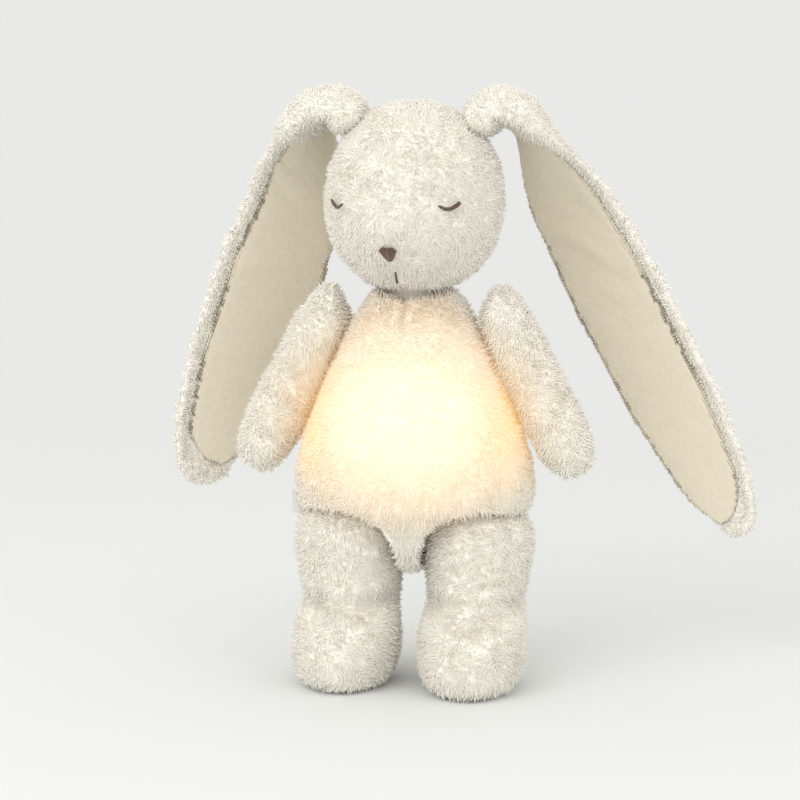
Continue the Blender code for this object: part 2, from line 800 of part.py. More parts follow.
def make_flap(kit):
    middle = POCKET_Z + (FLAP_ABOVE - FLAP_BELOW) / 2
    flap = rounded_slab(
        "back_flap",
        FLAP_WIDTH,
        FLAP_ABOVE + FLAP_BELOW,
        FLAP_THICKNESS,
        FLAP_CORNER,
        (0, FLAP_Y + FLAP_THICKNESS / 2, middle),
    )
    kit.add("back_flap", flap, kit.fur, smooth=False)
    low = POCKET_Z - FLAP_BELOW + 2 * STRIP_THICKNESS + STRIP_HEIGHT / 2
    for name, y in (("loop_strip", STRIP_Y), ("hook_strip", STRIP_Y + STRIP_THICKNESS + SOFT_GAP)):
        size = (STRIP_WIDTH, STRIP_THICKNESS, STRIP_HEIGHT)
        strip = box_mesh(name, size, (0, y + STRIP_THICKNESS / 2, low))
        kit.add(name, strip, kit.cloth, smooth=False)


# Places inside the light module, along Y from its front
JOINT_Y = MODULE_FRONT_Y + DIFFUSER_DEPTH
REAR_Y = MODULE_FRONT_Y + MODULE_DEPTH
WALL_Y = REAR_Y - HOUSING_WALL
BOARD_Y = JOINT_Y + PLASTIC_GAP
BOARD_BACK_Y = BOARD_Y + BOARD_THICKNESS
BOARD_RADIUS = BOSS_RING_RADIUS - BOSS_RADIUS - PLASTIC_GAP
FLANGE_INNER = BOARD_RADIUS - HOUSING_WALL
FLANGE_DEPTH = SCREW_BITE + PLASTIC_GAP + DIFFUSER_WALL
BOSS_ANGLE = radians(42)
ALONG_Y = Matrix.Rotation(-pi / 2, 4, "X")
DOME_STEPS = 8
MODULE_SIDES = 40


def module_place(x=0.0, y=0.0, z=0.0):
    """A turned piece's place in the module: its Z axis runs along the module's +Y."""
    return Matrix.Translation((x, y, POCKET_Z + z)) @ ALONG_Y


def boss_places():
    ring = []
    for angle in (BOSS_ANGLE, pi - BOSS_ANGLE, pi + BOSS_ANGLE, -BOSS_ANGLE):
        ring.append((BOSS_RING_RADIUS * cos(angle), POCKET_Z + BOSS_RING_RADIUS * sin(angle)))
    return ring


def make_liner(kit):
    outer = LINER_RADIUS
    inner = LINER_RADIUS - LINER_WALL
    floor = MODULE_FRONT_Y - SOFT_GAP - LINER_WALL
    depth = POCKET_MOUTH_Y - floor
    profile = [
        (0, 0), (outer, 0), (outer, depth), (inner, depth), (inner, LINER_WALL), (0, LINER_WALL)
    ]
    mesh = turned(kit, "pocket_liner", profile, 32, module_place(y=floor))
    kit.add("pocket_liner", mesh, kit.cloth)


def make_diffuser(kit):
    rise = DIFFUSER_DEPTH - FLANGE_DEPTH
    outer = []
    inner = []
    for n in range(DOME_STEPS + 1):
        angle = pi / 2 * n / DOME_STEPS
        outer.append((MODULE_RADIUS * sin(angle), rise * (1 - cos(angle))))
        low = rise - DIFFUSER_WALL
        inner.append((FLANGE_INNER * sin(angle), DIFFUSER_WALL + low * (1 - cos(angle))))
    profile = outer + [(MODULE_RADIUS, DIFFUSER_DEPTH), (FLANGE_INNER, DIFFUSER_DEPTH)]
    profile += inner[::-1]
    mesh = turned(kit, "diffuser", profile, MODULE_SIDES, module_place(y=MODULE_FRONT_Y))
    diffuser = kit.add("diffuser", mesh, kit.diffuser)
    for n, (x, z) in enumerate(boss_places()):
        end = JOINT_Y - SCREW_BITE - 2 * PLASTIC_GAP
        hole = rod_mesh("pilot", SCREW_RADIUS + PLASTIC_GAP, (x, end, z), (x, REAR_Y, z), 12)
        boolean(diffuser, kit.cutter(f"pilot_{n}", hole))


def make_housing(kit):
    depth = MODULE_DEPTH - DIFFUSER_DEPTH - PLASTIC_GAP
    outer = MODULE_RADIUS
    inner = MODULE_RADIUS - HOUSING_WALL
    profile = [
        (0, depth - HOUSING_WALL), (inner, depth - HOUSING_WALL), (inner, 0), (outer, 0),
        (outer, depth - HOUSING_WALL), (inner, depth), (0, depth),
    ]
    place = module_place(y=JOINT_Y + PLASTIC_GAP) @ Matrix.Rotation(HOUSING_TURN, 4, "Z")
    mesh = turned(kit, "rear_housing", profile, MODULE_SIDES, place)
    housing = kit.add("rear_housing", mesh, kit.white_plastic)
    seat = JOINT_Y - SCREW_BITE + SCREW_LENGTH
    for n, (x, z) in enumerate(boss_places()):
        start = (x, JOINT_Y + PLASTIC_GAP, z)
        boss = rod_mesh("boss", BOSS_RADIUS, start, (x, WALL_Y + HOUSING_WALL / 2, z), 16)
        boolean(housing, kit.cutter(f"boss_{n}", boss), "UNION")
        shank = SCREW_RADIUS + PLASTIC_GAP
        bore = rod_mesh("bore", shank, (x, MODULE_FRONT_Y, z), (x, seat + CUT_OVERRUN, z), 12)
        boolean(housing, kit.cutter(f"screw_bore_{n}", bore))
        wide = SCREW_HEAD_RADIUS + PLASTIC_GAP
        well = rod_mesh("well", wide, (x, seat, z), (x, REAR_Y + CUT_OVERRUN, z), 16)
        boolean(housing, kit.cutter(f"screw_well_{n}", well))
        start = (x, seat - SCREW_LENGTH, z)
        profile = [
            (0, 0), (SCREW_RADIUS, 0), (SCREW_RADIUS, SCREW_LENGTH + PLASTIC_GAP),
            (SCREW_HEAD_RADIUS, SCREW_LENGTH + PLASTIC_GAP),
            (SCREW_HEAD_RADIUS, SCREW_LENGTH + SCREW_HEAD_HEIGHT),
            (0, SCREW_LENGTH + SCREW_HEAD_HEIGHT),
        ]
        place = Matrix.Translation(start) @ ALONG_Y
        kit.add(f"housing_screw_{n + 1}", turned(kit, "screw", profile, 12, place), kit.steel)
    boolean(housing, kit.cutter("grille", grille_mesh()))
    for name, x in button_places():
        z = POCKET_Z - BUTTON_DROP
        radius = BUTTON_RADIUS + PLASTIC_GAP
        start = (x, WALL_Y - PLASTIC_GAP, z)
        hole = rod_mesh("hole", radius, start, (x, REAR_Y + CUT_OVERRUN, z), 24)
        boolean(housing, kit.cutter(f"{name}_hole", hole))
    depth = HOUSING_WALL + CUT_OVERRUN
    side = SLIDER_SIZE + 2 * PLASTIC_GAP
    middle = (SLIDER_X + SLIDER_TRAVEL / 2, WALL_Y + depth / 2 - PLASTIC_GAP, POCKET_Z + SLIDER_Z)
    slot = box_mesh("slot", (side + SLIDER_TRAVEL, depth, side), middle)
    boolean(housing, kit.cutter("slider_slot", slot))
    middle = (-SLIDER_X, middle[1], POCKET_Z + SLIDER_Z)
    size = (SOCKET_WIDTH + 2 * PLASTIC_GAP, depth, SOCKET_HEIGHT + 2 * PLASTIC_GAP)
    boolean(housing, kit.cutter("socket_slot", box_mesh("slot", size, middle)))


def grille_mesh():
    """All speaker holes as one cutter, each a short rod through the rear wall."""

    def build(made):
        middle = (WALL_Y - PLASTIC_GAP + REAR_Y + CUT_OVERRUN) / 2
        for x, z in grille_places():
            turn = Matrix.Rotation(pi / 2, 4, "X") @ Matrix.Rotation(GRILLE_TURN, 4, "Z")
            place = Matrix.Translation((x, middle, z)) @ turn
            bmesh.ops.create_cone(
                made,
                cap_ends=True,
                segments=7,
                radius1=GRILLE_HOLE_RADIUS,
                radius2=GRILLE_HOLE_RADIUS,
                depth=HOUSING_WALL + PLASTIC_GAP + CUT_OVERRUN,
                matrix=place,
            )

    return mesh_of("grille", build)


def grille_places():
    """Speaker holes: one in the middle and a ring of six, and a ring of twelve."""
    places = [(0, POCKET_Z + SPEAKER_RISE)]
    for ring in (1, 2):
        for n in range(6 * ring):
            angle = GRILLE_TURN + 2 * pi * n / (6 * ring)
            reach = ring * GRILLE_PITCH
            places.append((reach * cos(angle), POCKET_Z + SPEAKER_RISE + reach * sin(angle)))
    return places


def button_places():
    return (
        ("volume_down_button", -BUTTON_PITCH), ("power_button", 0), ("volume_up_button", BUTTON_PITCH)
    )


def make_electronics(kit):
    board = rod_mesh("circuit_board", BOARD_RADIUS, (0, BOARD_Y, POCKET_Z),
                     (0, BOARD_BACK_Y, POCKET_Z), 40)
    kit.add("circuit_board", board, kit.board)
    for n in range(4):
        angle = pi / 2 * n
        y = BOARD_Y - PLASTIC_GAP - LED_HEIGHT / 2
        place = (LED_RING_RADIUS * cos(angle), y, POCKET_Z + LED_RING_RADIUS * sin(angle))
        led = box_mesh("led", (LED_SIZE, LED_HEIGHT, LED_SIZE), place)
        kit.add(f"light_diode_{n + 1}", led, kit.led, smooth=False)
    half = BATTERY_LENGTH / 2
    y = BOARD_BACK_Y + PLASTIC_GAP + BATTERY_RADIUS
    z = POCKET_Z - BATTERY_DROP
    cell = rod_mesh("battery_cell", BATTERY_RADIUS, (-half, y, z), (half, y, z), 24)
    kit.add("battery_cell", cell, kit.red)
    start = y + BATTERY_RADIUS + PLASTIC_GAP
    depth = WALL_Y - PLASTIC_GAP - start
    size = (BATTERY_LENGTH / 2, depth, BATTERY_RADIUS)
    pad = box_mesh("battery_pad", size, (0, start + depth / 2, z))
    kit.add("battery_pad", pad, kit.foam, smooth=False)
    make_speaker(kit)
    make_controls(kit)
    make_leads(kit, half, y, z)


def make_speaker(kit):
    """Measured from the rear wall forwards, so each profile runs along -Y."""
    face = Matrix.Translation((0, WALL_Y - PLASTIC_GAP, POCKET_Z + SPEAKER_RISE))
    place = face @ Matrix.Rotation(pi / 2, 4, "X")
    wall = SPEAKER_RIM
    bottom = wall + SPEAKER_CONE_DEPTH + wall
    frame = [
        (SPEAKER_RADIUS - wall, 0), (SPEAKER_RADIUS, 0), (SPEAKER_RADIUS, wall),
        (MAGNET_RADIUS, bottom), (0, bottom), (0, bottom - wall / 2),
        (MAGNET_RADIUS - wall, bottom - wall / 2), (SPEAKER_RADIUS - wall, wall),
    ]
    frame_mesh = turned(kit, "speaker_frame", frame, 32, place)
    kit.add("speaker_frame", frame_mesh, kit.steel)
    rim = SPEAKER_RADIUS - wall - PLASTIC_GAP
    thin = wall / 3
    cone = [
        (rim, thin), (rim, 2 * thin), (MAGNET_RADIUS / 2, bottom - wall), (0, bottom - wall),
        (0, bottom - wall - thin), (MAGNET_RADIUS / 2, bottom - wall - thin),
    ]
    kit.add("speaker_cone", turned(kit, "speaker_cone", cone, 32, place), kit.black)
    near = WALL_Y - 2 * PLASTIC_GAP - bottom
    z = POCKET_Z + SPEAKER_RISE
    magnet = rod_mesh("speaker_magnet", MAGNET_RADIUS, (0, near - MAGNET_DEPTH, z), (0, near, z))
    kit.add("speaker_magnet", magnet, kit.steel)


def make_controls(kit):
    flange = BUTTON_RADIUS + 4 * PLASTIC_GAP
    foot = BOARD_BACK_Y + BUTTON_TRAVEL + PLASTIC_GAP
    under = WALL_Y - PLASTIC_GAP - foot
    for name, x in button_places():
        profile = [
            (0, 0), (BUTTON_RADIUS / 3, 0), (BUTTON_RADIUS / 3, under - BUTTON_FLANGE),
            (flange, under - BUTTON_FLANGE), (flange, under), (BUTTON_RADIUS, under),
            (BUTTON_RADIUS, REAR_Y + BUTTON_PROUD - foot), (0, REAR_Y + BUTTON_PROUD - foot),
        ]
        place = module_place(x=x, y=foot, z=-BUTTON_DROP)
        kit.add(name, turned(kit, name, profile, 24, place), kit.white_plastic)
    z = POCKET_Z + SLIDER_Z
    base = WALL_Y - PLASTIC_GAP
    wide = SLIDER_SIZE + SLIDER_TRAVEL
    size = (SLIDER_SIZE + 2 * PLASTIC_GAP, BUTTON_FLANGE, wide)
    plate = box_mesh("mode_slider", size, (SLIDER_X, base - BUTTON_FLANGE / 2, z))
    slider = kit.add("mode_slider", plate, kit.black, smooth=False)
    tall = REAR_Y + BUTTON_PROUD / 2 - base + BUTTON_FLANGE / 2
    middle = (SLIDER_X, base - BUTTON_FLANGE / 2 + tall / 2, z)
    knob = box_mesh("slider_knob", (SLIDER_SIZE, tall, SLIDER_SIZE), middle)
    boolean(slider, kit.cutter("slider_knob", knob), "UNION")
    middle = (-SLIDER_X, REAR_Y - SOCKET_DEPTH / 2, z)
    shell = box_mesh("charging_socket", (SOCKET_WIDTH, SOCKET_DEPTH, SOCKET_HEIGHT), middle)
    socket = kit.add("charging_socket", shell, kit.steel, smooth=False)
    size = (SOCKET_WIDTH - 2 * SOCKET_WALL, SOCKET_DEPTH, SOCKET_HEIGHT - 2 * SOCKET_WALL)
    hollow = box_mesh("hollow", size, (middle[0], middle[1] + SOCKET_WALL, z))
    boolean(socket, kit.cutter("socket_hollow", hollow))


def lead(kit, name, start, bend, end):
    """A thin wire from start, drawn towards bend, to end."""
    steps = 8
    points = []
    for n in range(steps + 1):
        t = n / steps
        near = Vector(start).lerp(Vector(bend), t)
        far = Vector(bend).lerp(Vector(end), t)
        points.append(near.lerp(far, t))
    wire = thread(kit, name, points)
    wire.data.bevel_depth = LEAD_RADIUS
    wire.data.materials.clear()
    wire.data.materials.append(kit.black)


def make_leads(kit, half, y, z):
    out = half + PLASTIC_GAP + LEAD_RADIUS
    back = BOARD_BACK_Y + PLASTIC_GAP + LEAD_RADIUS
    bend = (-out - LEAD_BEND, y - LEAD_BEND, z + BATTERY_RADIUS + LEAD_RADIUS)
    above = z + BATTERY_RADIUS + 5 * LEAD_RADIUS
    lead(kit, "battery_lead", (-out, y, z), bend, (-out * LEAD_END_SHARE, back, above))
    x = MAGNET_RADIUS + PLASTIC_GAP + LEAD_RADIUS
    rise = POCKET_Z + SPEAKER_RISE
    top = WALL_Y - 2 * PLASTIC_GAP - 2 * SPEAKER_RIM - SPEAKER_CONE_DEPTH - LEAD_RADIUS
    lead(kit, "speaker_lead", (x, top, rise), (x + LEAD_BEND, (top + back) / 2, rise),
         (x, back, rise))



def shoulder(sign):
    return (sign * SHOULDER_X, 0, SHOULDER_Z)


def hip(sign):
    return (sign * HIP_X, 0, HIP_Z)


def moving_bodies(ear_axes):
    """Each moving body: its parent body, a point on its joint's axis and its pieces."""
    neck = (0, 0, HEAD_BOTTOM)
    face = ("head", "nose", "mouth", "eye_left", "eye_right")
    flap_hinge = (0, FLAP_Y, POCKET_Z + FLAP_ABOVE)
    bodies = {
        "neck_body": (None, neck, ("neck",)),
        "head_body": ("neck_body", neck, face),
        "flap_body": (None, flap_hinge, ("back_flap", "hook_strip")),
        "slider_body": (None, (SLIDER_X, WALL_Y, POCKET_Z + SLIDER_Z), ("mode_slider",)),
    }
    for name, x in button_places():
        bodies[f"{name}_body"] = (None, (x, REAR_Y, POCKET_Z - BUTTON_DROP), (name,))
    for side, sign in SIDES.items():
        pieces = (f"ear_back_{side}", f"ear_lining_{side}")
        bodies[f"ear_{side}_body"] = ("head_body", ear_axes[side], pieces)
        bodies[f"arm_{side}_body"] = (None, shoulder(sign), (f"arm_{side}",))
        bodies[f"leg_{side}_body"] = (None, hip(sign), (f"leg_{side}",))
    return bodies


def empty_at(kit, name, place, parent):
    """An empty at a world place, under a parent empty that has no turn of its own."""
    empty = bpy.data.objects.new(name, None)
    empty.empty_display_size = THREAD_RADIUS
    kit.parts.objects.link(empty)
    empty.parent = parent
    origin = parent.matrix_world.translation if parent else Vector()
    empty.location = Vector(place) - origin
    bpy.context.view_layer.update()
    return empty


def hang(piece, empty):
    piece.parent = empty
    piece.location = -empty.matrix_world.translation


def make_bodies(kit, ear_axes):
    """Hangs each moving body on an empty on its joint's axis, all under one root empty."""
    pieces = {obj.name: obj for obj in kit.parts.objects}
    root = empty_at(kit, "night_light", (0, 0, 0), None)
    empties = {None: root}
    for name, (parent, place, held) in moving_bodies(ear_axes).items():
        empties[name] = empty_at(kit, name, place, empties[parent])
        for piece in held:
            hang(pieces.pop(piece), empties[name])
    for piece in pieces.values():
        hang(piece, root)
    bpy.context.view_layer.update()
    return root


def centre_on_floor(kit, root, cutters):
    """Moves the whole toy so that the middle of its outline lies over the origin."""
    graph = bpy.context.evaluated_depsgraph_get()
    corners = []
    for obj in kit.parts.objects:
        if obj.type == "EMPTY":
            continue
        placed = obj.evaluated_get(graph)
        corners += [placed.matrix_world @ Vector(corner) for corner in placed.bound_box]
    low = [min(corner[n] for corner in corners) for n in range(3)]
    high = [max(corner[n] for corner in corners) for n in range(3)]
    shift = Vector((-(low[0] + high[0]) / 2, -(low[1] + high[1]) / 2, -low[2]))
    root.location = shift
    for cutter in cutters:
        cutter.location += shift
    bpy.context.view_layer.update()
    for obj in kit.parts.objects:
        if obj.type == "EMPTY":
            print(obj.name, [round(value, 6) for value in obj.matrix_world.translation])


def main():
    clear_scene()
    kit = Kit()
    head = make_head(kit)
    torso, sides = make_torso(kit, head)
    make_neck(kit)
    seat_head(kit, head)
    make_face(kit, head)
    torso_clearance = grown(kit, torso, 2 * SOFT_GAP)
    ear_axes = {}
    for side, sign in SIDES.items():
        ear_axes[side] = make_ear(kit, head, side, sign)
        make_arm(kit, sides, side, sign)
        make_leg(kit, side, sign)
    make_tail(kit, torso_clearance)
    make_label(kit, torso_clearance, HIP_Z + LABEL_ABOVE_HIP)
    make_liner(kit)
    make_flap(kit)
    make_diffuser(kit)
    make_housing(kit)
    make_electronics(kit)
    root = make_bodies(kit, ear_axes)
    centre_on_floor(kit, root, list(kit.cutters.objects))


main()
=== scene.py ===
"""Looks of the plush rabbit night light: pile, woven cloth, stitching and the glow in its belly."""

from math import cos, pi, radians, sin

import bmesh
import bpy
from mathutils import Matrix, Vector, noise
from mathutils.bvhtree import BVHTree


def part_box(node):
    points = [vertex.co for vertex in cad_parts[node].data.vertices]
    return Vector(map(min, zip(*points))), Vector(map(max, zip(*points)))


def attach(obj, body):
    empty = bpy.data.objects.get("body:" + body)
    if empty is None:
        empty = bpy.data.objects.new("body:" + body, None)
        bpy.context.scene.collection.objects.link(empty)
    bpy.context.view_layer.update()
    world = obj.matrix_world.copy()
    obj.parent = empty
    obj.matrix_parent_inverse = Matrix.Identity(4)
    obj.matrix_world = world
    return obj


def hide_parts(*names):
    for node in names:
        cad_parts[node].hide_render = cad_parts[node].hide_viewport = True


bl_info = {
    "name": "Plush Rabbit Night Light",
    "version": (1, 0, 0),
    "blender": (4, 5, 0),
    "location": "View3D > Sidebar > Night Light",
    "description": "Dresses the night light's frame with pile, cloth, stitches and a glow",
    "category": "Object",
}

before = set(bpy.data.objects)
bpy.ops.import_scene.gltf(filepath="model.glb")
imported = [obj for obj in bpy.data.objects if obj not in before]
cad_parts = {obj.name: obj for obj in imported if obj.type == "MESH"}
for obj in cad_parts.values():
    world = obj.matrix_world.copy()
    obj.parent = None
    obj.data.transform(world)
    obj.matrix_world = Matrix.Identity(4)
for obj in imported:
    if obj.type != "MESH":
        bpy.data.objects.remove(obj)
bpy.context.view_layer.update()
SIDES = {"right": -1, "left": 1}
TORSO_LOW, TORSO_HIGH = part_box("torso")
TORSO_TOP = TORSO_HIGH.z
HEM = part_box("leg_left")[1].z - 0.018
HEM_DEPTH = 0.0026
BODY_X = (TORSO_LOW.x + TORSO_HIGH.x) / 2
PINCH_X = BODY_X - 0.004
PINCH_HEIGHT = TORSO_TOP - 0.014
PINCH_DEPTH = 0.0035
POCKET_LOW, POCKET_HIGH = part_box("pocket_liner")
POCKET_CENTRE = (POCKET_LOW + POCKET_HIGH) / 2
POCKET_RADIUS = (POCKET_HIGH.z - POCKET_LOW.z) / 2
BACKDROP_COLOUR = (0.815, 0.815, 0.81)
FLOOR_COLOUR = (0.76, 0.775, 0.77)
FLOOR_NEAR = 0.35
FLOOR_FAR = 1.6
FACE_TURN = Matrix.Rotation(radians(-7), 3, "Z")
FEATURES = ("nose", "mouth", "eye_left", "eye_right")

# The glow's squash along X, Y and Z, its rise and where it fades, as shares of its reach
GLOW_SQUASH = (0.76, 0.30, 1.00)
GLOW_RISE = 0.09
GLOW_FULL = 0.15
GLOW_END = 1.15

# The glow's share at the back, and distances from the middle of the toy
GLOW_BEHIND = 0.12
GLOW_BEHIND_DEPTH = 0.030
MIDDLE_HALF_WIDTH = 0.038
EDGE_HALF_WIDTH = 0.068
RIM_START = 0.050
RIM_END = 0.070
RIM_SHARE = 1.6
# Painted shade below the chin, warmed by the belly's light: its share, the heights over which it grows, and
# the depth over which it fades towards the back
PAINTED_CHEST_SHADE_SHARE = 0.75
PAINTED_CHEST_SHADE_LOW = TORSO_TOP - 0.058
PAINTED_CHEST_SHADE_HIGH = TORSO_TOP - 0.018
PAINTED_CHEST_SHADE_BACK = 0.022
# The belly's light falling on the arms and legs, painted on them as a weaker glow and a warmer colour
ARM_GLOW = 0.30
LEG_GLOW = 0.35

# The stitched face
NOSE_STITCH_GAP = 1.45
NOSE_BULGE = 0.0010
NOSE_LIFT = 0.0006
BAND_CROWN = 1.6
EYE_SAG = 0.25
EYE_TILT = 0.09
EYE_LIFT = 0.0016
MOUTH_LEAN = 0.0010
MOUTH_DROP = 0.0150
MOUTH_HALF_LENGTH = 0.0040
MOUTH_LIFT = 0.0014
FACE_NEAR = 0.0020
FACE_CLEAR = 0.0046
PARTING_SHARE = 0.62
PARTING_WIDTH = 0.0036

# The skin, its folds and where pile is kept off
SKIN_FACE = 0.0022
SKIN_ROUNDS = 3
LUMP_PITCH = 0.014
LOWEST_SKIN = 0.0003
LOWEST_LOCK = 0.0002
BARE_SHARE = 0.16
ANKLE_SHARE = 0.45
ANKLE_SLOPE = 0.25
ANKLE_FOLD = 0.0045
HIP_SHARE = 0.80
THIGH_ROLL = 0.0058
THIGH_REACH = 0.042
EAR_ROOT_ROLL = 0.0065
EAR_ROOT_REACH = 0.046
EAR_BORDER_ROLL = 0.0021
LINING_FACE = 0.0009
LINING_TIP = 0.022
LINING_BACK = 0.0016
LINING_SUNK = 0.0004
LINING_BORDER = 0.0017
POCKET_MARGIN = 0.003
FLAP_MARGIN = 0.007


# Settings
class PileSettings(bpy.types.PropertyGroup):
    length: bpy.props.FloatProperty(
        name="Pile length", description="Length of a lock of pile", default=0.0040, min=0.001,
        unit="LENGTH",
    )
    width: bpy.props.FloatProperty(
        name="Lock width", description="Width of a lock at its root", default=0.0008, min=0.0002,
        unit="LENGTH",
    )
    spacing: bpy.props.FloatProperty(
        name="Lock spacing", description="Least distance between two locks", default=0.00115, min=0.0005,
        unit="LENGTH",
    )
    lean: bpy.props.FloatProperty(
        name="Lean", description="How flat the locks lie, from 0 upright to 1 flat", default=0.66,
        min=0, max=1, subtype="FACTOR",
    )
    sink: bpy.props.FloatProperty(
        name="Skin depth", description="How far the skin lies under the pile", default=0.0018, min=0,
        unit="LENGTH",
    )
    colour: bpy.props.FloatVectorProperty(
        name="Pile colour", description="Colour of the cream pile", default=(0.975, 0.945, 0.865),
        min=0, max=1, subtype="COLOR",
    )


class GlowSettings(bpy.types.PropertyGroup):
    reach: bpy.props.FloatProperty(
        name="Reach", description="Distance over which the glow fades", default=0.078, min=0.01,
        unit="LENGTH",
    )
    strength: bpy.props.FloatProperty(
        name="Strength", description="Strength of the light in the belly", default=0.42, min=0
    )
    middle: bpy.props.FloatVectorProperty(
        name="Middle colour", description="Glow in the middle of the belly", default=(1.0, 0.82, 0.66),
        min=0, max=1, subtype="COLOR",
    )
    edge: bpy.props.FloatVectorProperty(
        name="Edge colour", description="Glow near the arms", default=(1.0, 0.60, 0.22), min=0, max=1,
        subtype="COLOR",
    )
    skin: bpy.props.FloatVectorProperty(
        name="Lit pile colour", description="Colour of the pile where the light comes through it",
        default=(0.88, 0.76, 0.60), min=0, max=1, subtype="COLOR",
    )


class ClothSettings(bpy.types.PropertyGroup):
    colour: bpy.props.FloatVectorProperty(
        name="Lining colour", description="Colour of the woven ear lining", default=(0.89, 0.81, 0.655),
        min=0, max=1, subtype="COLOR",
    )
    weave: bpy.props.FloatProperty(
        name="Weave pitch", description="Distance between two yarns", default=0.0007, min=0.0002,
        unit="LENGTH",
    )
    wrinkle: bpy.props.FloatProperty(
        name="Wrinkle height", description="Height of the folds in the lining", default=0.0052, min=0,
        unit="LENGTH",
    )


class StitchSettings(bpy.types.PropertyGroup):
    thread: bpy.props.FloatProperty(
        name="Thread radius", description="Radius of the embroidery thread", default=0.00038, min=0.0001,
        unit="LENGTH",
    )
    colour: bpy.props.FloatVectorProperty(
        name="Thread colour", description="Colour of the embroidery thread", default=(0.115, 0.062, 0.045),
        min=0, max=1, subtype="COLOR",
    )
    band: bpy.props.FloatProperty(
        name="Band width", description="Width of the satin line of an eye", default=0.0021, min=0.0005,
        unit="LENGTH",
    )
    eye_width: bpy.props.FloatProperty(
        name="Eye width", description="Width of a closed eye", default=0.0105, min=0.003, unit="LENGTH"
    )


# Node trees
class Tree:
    """Adds nodes to a node tree and sets or links their inputs in one call."""

    def __init__(self, nodes):
        self.tree = nodes

    def add(self, kind, inputs=None, **settings):
        node = self.tree.nodes.new(kind)
        for name, value in settings.items():
            setattr(node, name, value)
        for name, value in (inputs or {}).items():
            if isinstance(value, bpy.types.NodeSocket):
                self.tree.links.new(value, node.inputs[name])
            else:
                node.inputs[name].default_value = value
        return node

    def maths(self, operation, first, second=0.0):
        kind = "ShaderNodeMath"
        return self.add(kind, {0: first, 1: second}, operation=operation).outputs[0]

    def vector(self, operation, first, second=(0, 0, 0)):
        kind = "ShaderNodeVectorMath"
        return self.add(kind, {0: first, 1: second}, operation=operation).outputs[0]

    def ranged(self, value, low, high, start=0.0, end=1.0, **settings):
        """The value's place between low and high, as a value from start to end."""
        inputs = {"Value": value, "From Min": low, "From Max": high, "To Min": start, "To Max": end}
        return self.add("ShaderNodeMapRange", inputs, **settings).outputs["Result"]

    def parts(self, vector):
        return self.add("ShaderNodeSeparateXYZ", {"Vector": vector}).outputs

    def scaled(self, vector, factor):
        kind = "ShaderNodeVectorMath"
        return self.add(kind, {0: vector, "Scale": factor}, operation="SCALE").outputs[0]


def new_material(name, roughness, metallic=0.0):
    """A material with its tree, its shader and the Object coordinates that its patterns read."""
    made = bpy.data.materials.new(name)
    made.use_nodes = True
    tree = Tree(made.node_tree)
    shader = made.node_tree.nodes["Principled BSDF"]
    shader.inputs["Roughness"].default_value = roughness
    shader.inputs["Metallic"].default_value = metallic
    place = tree.add("ShaderNodeTexCoord").outputs["Object"]
    return made, tree, shader, place


def mottled(tree, place, colour, darker, scale):
    """The colour, varied softly with a darker share of itself."""
    spots = tree.add("ShaderNodeTexNoise", {"Vector": place, "Scale": scale, "Detail": 4.0})
    ramp = tree.add("ShaderNodeValToRGB", {"Fac": spots.outputs["Fac"]})
    ramp.color_ramp.elements[0].position = 0.32
    ramp.color_ramp.elements[0].color = (*[value * darker for value in colour], 1)
    ramp.color_ramp.elements[1].position = 0.68
    ramp.color_ramp.elements[1].color = (*colour, 1)
    return ramp.outputs["Color"]


def roughened(tree, shader, height, distance, strength):
    bump = tree.add("ShaderNodeBump", {"Height": height, "Distance": distance, "Strength": strength})
    tree.tree.links.new(bump.outputs["Normal"], shader.inputs["Normal"])


def glow_share(tree, place, glow):
    """One in the middle of the belly, falling to nothing at the reach, and weaker behind."""
    centre = (BODY_X, 0, POCKET_CENTRE.z + glow.reach * GLOW_RISE)
    offset = tree.vector("SUBTRACT", place, centre)
    shape = tree.vector("MULTIPLY", offset, [squash / glow.reach for squash in GLOW_SQUASH])
    length = tree.add("ShaderNodeVectorMath", {0: shape}, operation="LENGTH").outputs["Value"]
    fade = tree.ranged(length, GLOW_FULL, GLOW_END, 1.0, 0.0, interpolation_type="SMOOTHERSTEP")
    front = tree.ranged(tree.parts(place)["Y"], 0.0, GLOW_BEHIND_DEPTH, 1.0, GLOW_BEHIND)
    return tree.maths("MULTIPLY", fade, front)


def pile_material(name, pile, glow=None, glow_power=1.0, painted_chest_shade=False):
    """Soft pile in the settings' cream, with the belly's light in it where glow is given."""
    made, tree, shader, place = new_material(name, 0.92)
    cream = mottled(tree, place, pile.colour, 0.965, 260.0)
    shader.inputs["Sheen Weight"].default_value = 0.25
    shader.inputs["Sheen Roughness"].default_value = 0.5
    shader.inputs["Sheen Tint"].default_value = (1.0, 0.97, 0.92, 1)
    shader.inputs["Specular IOR Level"].default_value = 0.15
    fine = tree.add("ShaderNodeTexNoise", {"Vector": place, "Scale": 1400.0, "Detail": 5.0})
    roughened(tree, shader, fine.outputs["Fac"], 0.0006, 0.25)
    if glow is None:
        tree.tree.links.new(cream, shader.inputs["Base Color"])
    else:
        let_light_through(tree, shader, place, cream, glow, glow_power, painted_chest_shade)
    return made


